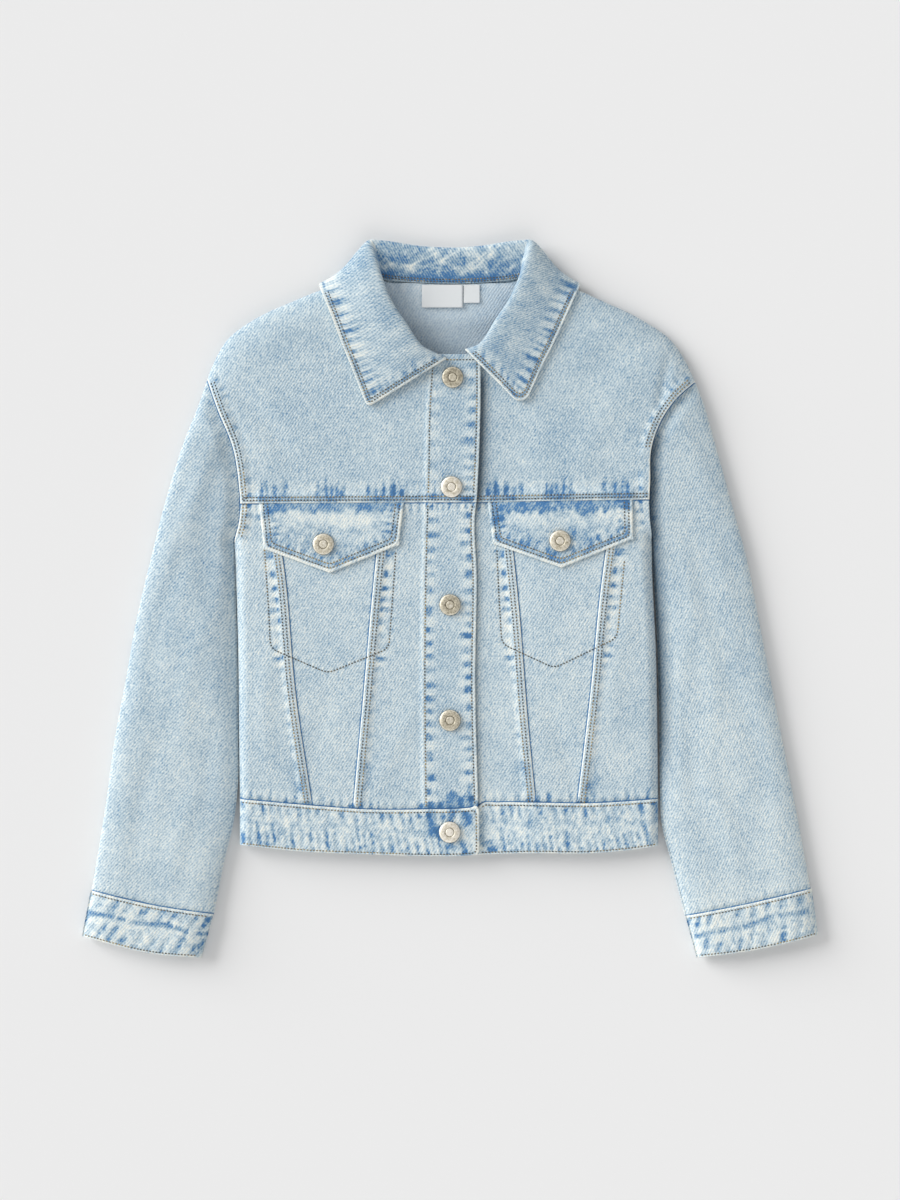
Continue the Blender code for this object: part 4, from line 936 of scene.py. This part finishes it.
def band_marks(top_gap, low_gap, length, seed, pitches, lean, blue, drawn, pale):
    """Rise and wash of a doubled band: rounded worn edges, a groove at each row of stitches, patches of
    indigo that lean away from both rows, and a broken wavy line where the layers draw in."""
    rise = BAND_RISE - sum(0.7 * rounding(gap, 1.1) for gap in (top_gap, low_gap))
    rise = rise - sum(0.35 * bell(gap, row, 0.9) for gap, row in ((top_gap, UPPER_ROW),
                                                                (low_gap, LOWER_ROW)))
    wash = pale + 0.7 * worn(top_gap, length, 1.3, seed) + 0.5 * worn(low_gap, length, 0.7, seed + 1)
    for gap, tilt, reach, apart, start in ((top_gap, lean, 15, pitches[0], 2.4),
                                           (low_gap, -lean, 21, pitches[1], 1.5)):
        tone, crest = puckers(gap, length, reach, apart, seed + int(start), start=start, lean=tilt,
                              blue=blue, pale=0.12)
        rise, wash = rise + 1.3 * crest, wash + tone
    level = 17 + 1.3 * np.sin(length / 17 + seed) + 1.0 * np.sin(length / 7.3 + 2 * seed)
    thick = 1.7 + 1.1 * noise_along(length, 7, seed + 5)
    breaks = rising(np.abs(noise_along(length, 10, seed + 6) - 0.5), 0.03, 0.06)
    middle = np.exp(-(((top_gap - level) / thick) ** 4)) * breaks
    middle = middle * drawn * (0.8 + 0.4 * patchy(length / 3, top_gap / 3, seed + 8))
    bleached = bell(np.abs(top_gap - level), 4.5, 1.8) * drawn
    wash += 0.35 * (patchy(length / 6, top_gap / 6, seed + 9) - 0.5) + 0.9 * (
        patchy(length / 2.4, top_gap / 3.2, seed + 10) - 0.5)
    return rise - 0.3 * middle, wash * (1 - 0.9 * middle) - 0.85 * middle + 0.15 * bleached


for side, sign in SIDES:
    curves = CURVES[side]
    columns, rows = spacing(105, fine=1.3, coarse=1.5), spacing(40, fine=1.2, coarse=1.5)
    seam, end = curves["cuff_seam"], curves["cuff_end"]
    outer, inner = np.array((end[0], seam[0])), np.array((end[-1], seam[-1]))
    plan = patch(end, seam, outer, inner, columns, rows)
    middle = plan.mean(axis=1, keepdims=True)
    plan = middle + (plan - middle) * CUFF_WIDER
    top_gap, length = near(plan, seam)
    low_gap, _ = near(plan, end)
    faces, washes = [], []
    for field, seed, up in ((front_height, 71, 1), (back_height, 75, 0)):
        height, share = field(plan, SLEEVE_FOLDS)
        rise, wash = band_marks(top_gap, low_gap, length, seed + sign, (12, 11.5), -0.4 * sign,
                                *CUFF_WASH[side])
        height = height + rise * share * up
        faces.append(with_heights(plan, height))
        washes.append(wash)
    points = np.concatenate((faces[0], faces[1][:, ::-1][:, 1:-1]), axis=1)
    wash = np.concatenate((washes[0], washes[1][:, ::-1][:, 1:-1]), axis=1)
    cloth(f"cuff_{side}", points, wash,
          facing="out", wall=BAND_WALL, closed=True,
          grain=grain_along(points[..., :2], SLEEVE_TURN * sign))

right, left = WAIST[0, 0], WAIST[-1, 0]
over_x = OVER_END + (right - OVER_END) * spacing(204, fine=1.2, coarse=1.5)
back_x = right + (left - right) * spacing(356, fine=1.5, coarse=3.5)
under_x = left + (UNDER_END - left) * spacing(196, fine=1.2, coarse=1.5)
faces, washes = [], []
rows = spacing(40, fine=1.2, coarse=1.5)[:, None]
for x, field, part, seed in ((over_x, front_height, "over", 81), (back_x, back_height, "back", 91),
                             (under_x, front_height, "under", 81)):
    seam_y, hem_y = np.interp(x, WAIST[:, 0], WAIST[:, 1]), np.interp(x, HEM_LINE[:, 0], HEM_LINE[:, 1])
    plan = np.stack((x + 0 * rows, hem_y + (seam_y - hem_y) * rows), axis=-1)
    top_gap, length = near(plan, WAIST)
    low_gap, _ = near(plan, HEM_LINE)
    height, share = field(plan)
    rise, wash = band_marks(top_gap, low_gap, length, seed, (8.6, 6.6), -0.2, 0.75, 0.3, 0.16)
    if part == "over":
        end_gap = OVER_END - plan[..., 0]
        corner = np.clip(1 - np.minimum(top_gap, low_gap) / 4, 0, 1)
        plan[..., 0] -= 4 * (1 - np.sqrt(1 - corner**2)) * fading(end_gap, 0, 12)
        wash += worn(end_gap, plan[..., 1] + 300, 1.8, 83)
        # Round its button the over end has kept deep patches of indigo.
        deep = rising(patchy(plan[..., 0] / 7 + 50, plan[..., 1] / 11 + 50, 84), 0.45, 0.3)
        wash -= 1.1 * rising(plan[..., 0], -24, 10) * rising(end_gap, 3, 3) * deep
        rise -= 0.7 * rounding(end_gap, 1.1)
    if part == "under":
        height -= (UNDER_DROP + 1.5) * fading(plan[..., 0], 25, 60)
    height = height + (rise * share if part != "back" else 0)
    faces.append(with_heights(plan, height))
    washes.append(wash)
points = np.concatenate((faces[0][:, :-1], faces[1], faces[2][:, 1:]), axis=1)
wash = np.concatenate((washes[0][:, :-1], washes[1], washes[2][:, 1:]), axis=1)
cloth("waistband", points, wash,
      facing="out", wall=BAND_WALL)

# --- Collar -----------------------------------------------------------------------------------------
# Two layers of denim. The stand rises from the neckline to the roll, and the fall lies on the yokes in
# front and under the back behind. It is sewn round its free edge with two close rows.

# Stations from the right end round the back to the left: points of the seam, the roll and the free
# edge, and the way the cloth passes its roll (degrees, 90 up and -90 down)
COLLAR_COLUMNS = ("seam_x", "seam_y", "seam_z", "roll_x", "roll_y", "roll_z", "edge_x", "edge_y", "edge_z",
                  "turn")
COLLAR_STATIONS = (
    (-6, 205, 17, -3, 203.5, 19.5, -70, 162, 19.5, 90),
    (-17, 208, 17, -14, 208.5, 21, -76, 177, 19.5, 90),
    (-30, 214.5, 16.5, -24, 214, 22.5, -83, 195, 19, 90),
    (-47.2, 234.5, 16, -38, 234, 24, -92, 217, 19, 90),
    (-58.5, 256.5, 14, -51, 254, 24, -101, 241, 18, 90),
    (-61.5, 270, 10, -58, 272, 23, -108, 258, 13, 85),
    (-62.5, 274.5, 8, -63, 288, 20, -111, 267.5, 7, 50),
    (-61.5, 274.5, 6.5, -68, 303.6, 14.5, -104, 262.5, 1.4, 0),
    (-59, 273.4, 5.6, -61, 304.0, 12.5, -93, 258.5, 1.15, -35),
    (-54, 272, 4.8, -50, 303, 11, -76, 252, 1.15, -65),
    (-29, 269.7, 4.2, -26, 299.5, 9, -38, 247.5, 1.15, -90),
    (0, 268.6, 4.2, 0, 298, 8.5, 0, 246, 1.15, -90),
    (29, 269.6, 4.2, 26, 299.5, 9, 38, 247.5, 1.15, -90),
    (54, 272, 4.8, 50, 303, 11, 76, 252, 1.15, -65),
    (59, 273.4, 5.6, 62, 304.0, 12.5, 93, 258.5, 1.15, -35),
    (61.5, 274.5, 6.5, 68.5, 303.6, 14.5, 104, 262.5, 1.4, 0),
    (62.5, 274.5, 8, 64, 288, 20, 110.5, 267.5, 7, 50),
    (62, 270, 10, 59, 272, 23, 106.5, 257.5, 13, 85),
    (58.5, 256, 14, 51, 254, 24, 99, 241, 18, 90),
    (47.5, 235, 16, 39, 236, 24, 88, 217, 19, 90),
    (32, 216, 16.5, 27, 217, 22.5, 77, 195, 19, 90),
    (23, 210.5, 17, 20, 213, 21.5, 69, 177, 19.5, 90),
    (15, 209, 17, 13, 211, 20.5, 62, 162, 19.5, 90),
)
COLLAR_WALL = 2.0
LEAF_REST = 2.1  # middle of the fall above what it lies on
PLACKET_REACH = 30.0  # the fall clears the placket as far as this from the middle
ROLL_HANDLE = 6.5  # reach of the curves' handles at the roll
STAND_HANDLE, FALL_HANDLE, FALL_CROWN = 0.35, 0.5, 0.6  # shares of the way for those at the two edges
LEAF_ENDS = (5.0, 13.0)  # radius of the right and the left leaf's point

stations = smooth_curve(COLLAR_STATIONS, 9)
table = dict(zip(COLLAR_COLUMNS, stations.T))
seam, roll, edge = (np.stack([table[f"{line}_{axis}"] for axis in "xyz"], axis=1)
                    for line in ("seam", "roll", "edge"))
turn = np.radians(table["turn"])[:, None]
slope = np.cos(turn) * np.clip(roll[:, :1] / 10, -1, 1) * (1, 0, 0) + np.sin(turn) * (0, 0, 1)
over = np.clip(np.sin(turn), 0, 1)[:, 0]
near_edge = edge + FALL_HANDLE * (roll - edge)
near_edge[:, 2] = edge[:, 2] + FALL_CROWN * over * (roll[:, 2] - edge[:, 2])
stand_steps, fall_steps = np.linspace(0, 1, 18)[1:], 1 - (1 - np.linspace(0, 1, 44)[1:]) ** 1.25
rows = [seam]
for (a, b, c, d), steps in (((seam, seam + STAND_HANDLE * (roll - seam), roll - ROLL_HANDLE * slope, roll),
                             stand_steps),
                            ((roll, roll + ROLL_HANDLE * slope, near_edge, edge), fall_steps)):
    rows += [(1 - t) ** 3 * a + 3 * (1 - t) ** 2 * t * b + 3 * (1 - t) * t**2 * c + t**3 * d for t in steps]
points = np.array(rows)
fall = points[1 + len(stand_steps):]
rest, _ = front_height(fall[..., :2])
rest = rest + BAND_PROUD * (np.abs(fall[..., 0]) < PLACKET_REACH) + LEAF_REST
in_front = over > 0.99
fall[:, in_front, 2] = np.maximum(fall[:, in_front, 2], rest[:, in_front])
# Distances over the cloth itself: to the free edge down each column, to the ends along each row, and
# from the middle of the back along the free edge.
down_steps = np.linalg.norm(np.diff(points, axis=0), axis=-1)
edge_gap = np.concatenate((np.cumsum(down_steps[::-1], axis=0)[::-1], 0 * down_steps[:1]))
row_steps = np.linalg.norm(np.diff(points, axis=1), axis=-1)
run = np.concatenate((0 * row_steps[:, :1], np.cumsum(row_steps, axis=1)), axis=1)
end_gap = np.minimum(run, run[:, -1:] - run)
edge_run = np.broadcast_to(run[-1:], run.shape)
is_fall = np.arange(len(points))[:, None] > len(stand_steps)
side_gap = np.minimum(edge_gap, end_gap + 1000.0 * ~is_fall)
tone, crest = puckers(edge_gap, edge_run, 14, 8.5, 101, start=5, blue=0.6, pale=0.6)
end_tone, _ = puckers(end_gap, edge_gap, 9, 8.5, 102, start=5, blue=0.7, pale=0.4)
wash = (tone + 0.7 * end_tone * (edge_gap > 6)) * is_fall
wash += 1.1 * worn(side_gap, edge_run + edge_gap, 1.6, 103)
wash += (0.5 * (patchy(edge_run / 9, edge_gap / 14, 104) - 0.5) - 0.08) * is_fall
wash -= (0.05 + 0.2 * fading(edge_gap, 14, 14)) * (roll[:, 0] > 0) * is_fall
wash -= 0.5 * bell(side_gap, 4.0, 1.6) * patchy(edge_run / 4, side_gap / 4, 106) * is_fall
# The stand's inner face keeps its colour, crossed by thin bleached creases, and deepest along its seam.
seam_gap = edge_gap[:1] - edge_gap
middle = run[:, run.shape[1] // 2, None]
stand = -0.78 - 0.4 * fading(seam_gap, 2, 14) * (0.3 + patchy(run / 9 + 30, edge_gap / 40, 109))
# Lighter towards the wearer's left end: painted light, as the other end lies in the shade of the roll.
stand += 0.4 * rising(seam_gap, 17, 8) + 0.3 * rising(points[..., 0], 30, 25)
for lean, pitch, seed in ((0.9, 9, 105), (-0.5, 13, 110), (1.6, 15, 111)):
    crease = 1 - np.abs(2 * patchy((run - middle + lean * edge_gap) / pitch + 50, edge_gap / 30, seed) - 1)
    stand += 0.75 * rising(crease, 0.84, 0.16) * rising(seam_gap, 4, 6)
wash += ~is_fall * (stand + 1.5 * worn(seam_gap, edge_run, 1.2, 107)
                    + 0.7 * (patchy(run / 3.5 + 20, edge_gap / 5, 108) - 0.5))
# The wall grows both ways, so that a crest or a groove is a shift straight up.
points[..., 2] += (0.9 * crest - 0.3 * bell(side_gap, 2.8, 0.8)) * is_fall * (over[None] > 0.5)
distance = np.stack((run - middle, edge_gap), axis=-1)
# The two points of the leaves are turned round: square rings about a corner become arcs.
for end, radius in zip((run, run[:, -1:] - run), LEAF_ENDS):
    from_edge, from_end = np.clip(radius - edge_gap, 0, None), np.clip(radius - end, 0, None)
    both = (from_edge > 0) & (from_end > 0) & is_fall
    to_arc = np.maximum(from_edge, from_end) / np.maximum(np.hypot(from_edge, from_end), 1e-9)
    share = np.where(both, to_arc, 1)
    from_pivot = np.hypot(edge_gap - radius, end - radius) + 1e3 * ~is_fall
    pivot = np.unravel_index(np.argmin(from_pivot), end.shape)
    points = points[pivot] + (points - points[pivot]) * share[..., None]
# Painted shade over the wearer's right leaf, a little deeper towards its roll.
shade = (0.06 + 0.05 * rising(edge_gap, 30, 15)) * (roll[:, 0] < 0) * is_fall
cloth("collar", points, wash,
      grain=distance, wall=COLLAR_WALL, offset=0,
      shade=shade)

# --- Topstitching -----------------------------------------------------------------------------------
# Thick polyester-wrapped thread in faded tan, washed to a bluish grey in places. Each stitch is one
# short piece of thread, half sunk in the cloth. Knots and the bobbin side are hidden and left out.
STITCH_PITCH, STITCH_LENGTH, THREAD = 2.7, 1.7, 1.15
THREAD_TONES = ((0.2, "#4A5153"), (0.5, "#756D60"), (0.8, "#A8966F"))
MOST_STEP = 2.5  # a stitch that would climb more than this from one end to the other is left out
ABOVE_ALL = 60.0  # a level above every piece
STITCH_SIDES = 6
# Rings of a stitch: how far along it, share of the thread's thickness, rise
STITCH_RINGS = ((0, 0.35, -0.22), (0.16, 1, 0.02), (0.84, 1, 0.02), (1, 0.35, -0.22))
# The two rows' distances inside each kind of edge
YOKE_ROWS, ARMHOLE_ROWS, V_ROWS = (2.3, 5.0), (2.2, 5.0), (3.0, 6.0)
LEAF_ROWS, STAND_ROWS = (2.8, 5.2), (1.6, 3.6)
thread, tree, shader = new_material("topstitching_thread", Roughness=0.7, Specular_IOR_Level=0.3)
tint = add(tree, "Attribute", attribute_name="wash").outputs["Fac"]
colour = add(tree, "ValToRGB", {"Fac": tint}, THREAD_TONES).outputs["Color"]
tree.links.new(colour, shader.inputs["Base Color"])


def offset(line, distance):
    """Polyline moved to the left of its own direction, along the mean normal at each point."""
    line = np.asarray(line, float)
    way = np.gradient(line, axis=0)
    way /= np.maximum(np.linalg.norm(way, axis=1, keepdims=True), 1e-9)
    return line + distance * way[:, ::-1] * (-1, 1)


def evenly(path):
    """Where each stitch along a path starts and where it ends, one pitch after the other."""
    total = along(path)[-1]
    starts = np.arange(max(int(total / STITCH_PITCH), 1)) * STITCH_PITCH
    return at(path, starts / total), at(path, (starts + STITCH_LENGTH) / total)


def stitches(name, paths, pieces=(), seed=1):
    """Stitches along paths in mm. A flat path takes its heights from the upper faces of these pieces,
    found by casting down on to them. Each stitch is a six-sided length of thread with tapered ends."""
    trees = []
    for piece in pieces:
        mesh = bpy.data.objects[f"{piece}_cloth"].data
        flat = np.empty(len(mesh.vertices) * 3, np.float32)
        mesh.vertices.foreach_get("co", flat)
        corners = np.empty(len(mesh.loops), np.int32)
        mesh.loops.foreach_get("vertex_index", corners)
        trees.append(BVHTree.FromPolygons((flat.reshape(-1, 3) / MM).tolist(),
                                          corners.reshape(-1, 4).tolist()))

    def lifted(ends):
        """Ends of stitches with their heights: those of the highest face under each."""
        if ends.shape[1] == 3:
            return ends
        found = []
        for x, y in ends:
            hits = [tree.ray_cast((x, y, ABOVE_ALL), (0, 0, -1))[0] for tree in trees]
            found.append(max([hit.z for hit in hits if hit is not None], default=np.nan))
        return np.column_stack((ends, found))

    ends = [[lifted(each) for each in evenly(np.asarray(path, float))] for path in paths]
    start, end = (np.vstack(each) for each in zip(*ends))
    climb = np.abs(start[:, 2] - end[:, 2])
    whole = np.isfinite(climb) & (climb < MOST_STEP)
    start, end = start[whole], end[whole]
    way = end - start
    length = np.linalg.norm(way, axis=1, keepdims=True)
    way = way / length
    side = np.cross(way, (0, 0, 1.0))
    side /= np.maximum(np.linalg.norm(side, axis=1, keepdims=True), 1e-9)
    up = np.cross(side, way)
    angles = np.linspace(0, 2 * np.pi, STITCH_SIDES, endpoint=False)[None, :, None]
    round_way = side[:, None] * np.cos(angles) + up[:, None] * np.sin(angles)
    points = np.stack([(start + way * length * share + up * rise)[:, None] + radius * THREAD / 2 * round_way
                       for share, radius, rise in STITCH_RINGS], axis=1)
    lattice = np.arange(len(STITCH_RINGS) * STITCH_SIDES).reshape(-1, STITCH_SIDES)
    after = np.roll(lattice, -1, axis=1)
    quads = np.stack((lattice[:-1], after[:-1], after[1:], lattice[1:]), axis=-1).reshape(-1, 4)
    caps = np.array((lattice[0][:4], lattice[0][[3, 4, 5, 0]],
                     lattice[-1][:4][::-1], lattice[-1][[0, 5, 4, 3]]))
    first = lattice.size * np.arange(len(points))[:, None, None]
    faces = (np.vstack((quads, caps))[None] + first).reshape(-1, 4)
    corners = points.reshape(-1, 3)[faces[:len(quads)]]
    normal = np.cross(corners[:, 2] - corners[:, 0], corners[:, 3] - corners[:, 1])
    middle = points[0].reshape(-1, 3).mean(0)
    if (normal * (corners.mean(1) - middle)).sum() < 0:
        faces = faces[:, ::-1]
    number = np.arange(len(points)) * 1.0
    tint = 0.6 * noise_along(number, 7.0, seed) + 0.4 * noise_along(number, 1.0, seed + 1)
    new_piece(name, new_mesh(name, points, faces.tolist(), wash=np.repeat(tint, lattice.size)), thread)


def upright(line, low, high):
    """Part of a line between two levels, from its upper end down."""
    line = line if line[0, 1] > line[-1, 1] else line[::-1]
    return line[(line[:, 1] > low) & (line[:, 1] < high)]


def inset(line, distance):
    """Polyline moved to the left of its own direction, its sides drawn on to meet in corners again."""
    way = np.diff(line, axis=0)
    way = [each / np.linalg.norm(each) for each in way]
    first = [a + distance * each[::-1] * (-1, 1) for a, each in zip(line, way)]
    corners = [first[0]]
    for p, u, q, w in zip(first, way, first[1:], way[1:]):
        corners.append(p + np.linalg.solve(np.array((u, -w)).T, q - p)[0] * u)
    return np.array(corners + [line[-1] + distance * way[-1][::-1] * (-1, 1)])


placket_edge = at(smooth_curve(PLACKET_EDGE), np.linspace(0, 1, 300)) - (EDGE_ROW, 0)
placket_in = at(smooth_curve(PLACKET_SEAM), np.linspace(0, 1, 300))
BOTTOM = HEM_LINE[:, 1].min()
for side, sign in SIDES:
    curves, yoke, split = CURVES[side], YOKES[side], YOKE_ENDS[side]
    arm_up, arm_down = stretch(curves["armhole"], 0.03, split), stretch(curves["armhole"], split, 0.97)
    if side == "left":
        arm_up = arm_up[arm_up[:, 1] > 124]
    paths = []
    for gap in YOKE_ROWS:
        x = at(offset(yoke, gap), np.linspace(0.012, 0.995, 80))[:, 0]
        paths.append(np.stack((x, np.interp(x, *yoke[np.argsort(yoke[:, 0])].T) + gap), axis=1))
    paths += [offset(arm_up, -sign * gap) for gap in ARMHOLE_ROWS]
    if side == "right":
        paths += [upright(placket_edge, 86, 203), upright(placket_in, 86, 203), ((-3, 203), (22, 203))]
    stitches(f"topstitching_yoke_{side}", paths, [f"front_yoke_{side}"], 111)
    paths = [offset(upright(curves[seam_name], BOTTOM, yoke[0, 1] - 1), -inwards * gap)
             for seam_name, inwards in (("outer_seam", -sign), ("inner_seam", sign)) for gap in V_ROWS]
    if side == "right":
        paths += [offset(arm_down, -sign * gap) for gap in ARMHOLE_ROWS]
    paths.append(rounded(POCKETS[side], 6))
    if side == "right":
        paths += [upright(placket_edge, BOTTOM, 80), upright(placket_in, BOTTOM, 80)]
    stitches(f"topstitching_panels_{side}", paths,
             [f"front_{part}_panel_{side}" for part in ("side", "middle", "centre")], 112)
    shape = FLAPS[side]
    line = np.array((shape["top"][0], *shape["tip"], shape["top"][1]), float)
    stitches(f"topstitching_flap_{side}", [rounded(inset(line, gap), 3) for gap in FLAP_ROWS],
             [f"pocket_flap_{side}"], 113)
    paths = [stretch(offset(curves[line], gap * sign), 0.015, 0.985)
             for line, gap in (("cuff_seam", UPPER_ROW), ("cuff_end", -LOWER_ROW))]
    stitches(f"topstitching_cuff_{side}", paths, [f"cuff_{side}"], 114)

waist_row, hem_row = (offset(at(line, np.linspace(0, 1, 300)), gap)
                      for line, gap in ((WAIST, -UPPER_ROW), (HEM_LINE, LOWER_ROW)))
over_end = ((20.6, -180.0), (22.2, -182.5), (22.4, -213.0), (20.5, -215.8))
paths = [np.vstack((waist_row[waist_row[:, 0] < 18], over_end, hem_row[hem_row[:, 0] < 18][::-1])),
         waist_row[waist_row[:, 0] > 27], hem_row[hem_row[:, 0] > 27]]
stitches("topstitching_waistband", paths, ["waistband"], 115)


def leaf_row(gap, from_end, columns):
    """Row round one leaf of the collar at this distance inside its edge: down its end, at that distance
    along every row of the grid, then along its free edge, at that distance up each column."""
    below_roll = len(stand_steps) + 8
    rows = [i for i in range(below_roll, len(points)) if edge_gap[i, columns[0]] > gap]
    down = [[np.interp(gap, from_end[i, columns], shown[i, columns, k]) for k in range(3)] for i in rows]
    round_edge = [[np.interp(gap, edge_gap[::-1, j], shown[::-1, j, k]) for k in range(3)]
                  for j in columns if from_end[-1, j] > gap]
    return np.array(down + round_edge)


shown = points + (0, 0, COLLAR_WALL / 2)
right_leaf = np.flatnonzero((over > 0.98) & (roll[:, 0] < 0))
left_leaf = np.flatnonzero((over > 0.98) & (roll[:, 0] > 0))[::-1]
paths = [leaf_row(gap, from_end, leaf) for from_end, leaf in ((run, right_leaf),
                                                              (run[:, -1:] - run, left_leaf))
         for gap in LEAF_ROWS]
low = slice(12)  # the stand's rows beside its seam
seam_rows = [np.array([[np.interp(gap, seam_gap[low, j], shown[low, j, k]) for k in range(3)]
                       for j in range(points.shape[1])]) for gap in STAND_ROWS]
paths += [row[row[:, 1] > 262] for row in seam_rows]
stitches("topstitching_collar", paths, (), 116)

# --- Buttons ----------------------------------------------------------------------------------------
# Shank buttons stamped from brass and plated to look like old silver, worn back to the brass on their
# raised rims. Five close the front, and one closes each flap. Their faces are left bare.
SPOKES = 64  # points round each ring
BUTTON_SUNK = 0.2  # a button's foot sinks into the cloth by this
ON_FLAP = 2.0  # a flap button's foot above the front that the flap lies on
# Middle x and y of each, and how much brighter than the rest its plating is
FRONT_BUTTONS = ((2.2, 188, -0.24), (1.2, 95, 0.06), (0, -5, -0.22), (0, -103, -0.18), (-0.3, -198, 0.08))
# Half section from the middle of the face out and down: radius, height, brightness of the worn plating,
# with painted shade on the outer side and underneath
BUTTON_PROFILE = (
    (0.01, 3.4, 0.32), (2.4, 3.42, 0.32), (3.3, 3.35, 0.25), (3.5, 3.15, -0.45), (3.8, 3.15, -0.45),
    (4.0, 3.4, 0.15), (5.4, 3.5, 0.2), (6.8, 3.4, 0.2), (7.8, 3.1, 0.25), (8.35, 2.85, 0.45),
    (8.8, 2.5, 0.2), (9.05, 2.1, -0.5), (8.7, 1.8, -0.5), (7.0, 1.6, -0.5), (4.6, 1.3, -0.5),
    (4.4, 0.0, -0.5), (0.01, 0.0, -0.5))
PLATING = ((0.2, "#6A6352"), (0.62, "#CFC7B2"), (1.0, "#F8F2E6"))
WORN_SPOTS = 640.0  # spots of wear per metre, 1.6 mm apart
button_metal, tree, shader = new_material("antique_silver_on_brass", Metallic=0.55, Roughness=0.55)
place = add(tree, "TexCoord").outputs["Object"]
worn_spots = add(tree, "TexNoise", {"Vector": place, "Scale": WORN_SPOTS, "Detail": 3.0}).outputs["Fac"]
wear_and_shade_tone = add(tree, "Attribute", attribute_name="wash").outputs["Fac"]
tone = add(tree, "Math", {0: worn_spots, 1: 1.1, 2: wear_and_shade_tone}, operation="MULTIPLY_ADD").outputs[0]
colour = add(tree, "ValToRGB", {"Fac": tone}, PLATING).outputs["Color"]
tree.links.new(colour, shader.inputs["Base Color"])


def button(name, x, y, base, brighter):
    """Shank button: its half section turned about its axis. Its plating is darker in its hollows, and its
    outer side and underside are painted dark as shade.
    """
    profile = np.array(BUTTON_PROFILE)
    angles = np.linspace(0, 2 * np.pi, SPOKES, endpoint=False)
    radius, height, bright = profile[:, 0, None], profile[:, 1, None], profile[:, 2, None]
    ring = np.stack((x + radius * np.cos(angles), y + radius * np.sin(angles), base + height + 0 * angles),
                    axis=-1)
    index = np.arange(ring.shape[0] * SPOKES).reshape(-1, SPOKES)
    after = np.roll(index, -1, axis=1)
    faces = np.stack((index[:-1], index[1:], after[1:], after[:-1]), axis=-1).reshape(-1, 4)
    faces = faces.tolist() + [index[0].tolist(), index[-1][::-1].tolist()]
    mesh = new_mesh(name, ring, faces, wash=np.broadcast_to(bright + brighter, index.shape))
    piece = new_piece(f"{name}_metal", mesh, button_metal)
    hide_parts(name)


for number, (x, y, brighter) in enumerate(FRONT_BUTTONS, start=1):
    face, _ = front_height(np.array((x, y), float))
    proud = BAND_RISE if number == 5 else BAND_PROUD  # the last one closes the waistband
    button(f"front_button_{number}", x, y, float(face) + proud - BUTTON_SUNK, brighter)
for side, (x, y) in FLAP_BUTTONS.items():
    face, _ = front_face(np.array((x, y), float), side)
    button(f"flap_button_{side}", x, y, float(face) + ON_FLAP, -0.1)

# --- Labels -----------------------------------------------------------------------------------------
# Two bare satin-woven tapes sewn into the back neck seam. They hang on the inside of the back.

# Edges, top and drop of each, and its lift off the back
LABELS = {
    "neck_label": {"right": -24, "left": 11, "top": 267.6, "drop": 19.5, "lift": 0.9},
    "size_label": {"right": 11.6, "left": 25.4, "top": 267.6, "drop": 15.5, "lift": 0.3},
}
RIB = 0.9  # mm between the weave's ribs
satin, tree, shader = new_material("polyester_satin_tape", Roughness=0.5, Sheen_Weight=0.15,
                                   Specular_IOR_Level=0.4)
grain = add(tree, "UVMap", uv_map="grain").outputs["UV"]
ribs = add(tree, "TexWave", {"Vector": grain, "Scale": 2 * np.pi / (20 * RIB * MM)},
           bands_direction="Y").outputs["Fac"]
colour = add(tree, "ValToRGB", {"Fac": ribs}, ((0, "#DCE0E2"), (1, "#E8EAEA"))).outputs["Color"]
tree.links.new(colour, shader.inputs["Base Color"])
for name, label in LABELS.items():
    x = np.linspace(label["right"], label["left"], 24)
    y = label["top"] - label["drop"] * np.linspace(1, 0, 20)[:, None]
    plan = np.stack((x + 0 * y, y + 0 * x), axis=-1)
    height, _ = back_height(plan)
    curl = 0.9 * ((label["top"] - plan[..., 1]) / label["drop"]) ** 2
    cloth(name, with_heights(plan, height + WALL + 0.6 + label["lift"] + curl), 0, wall=0.5, material=satin)
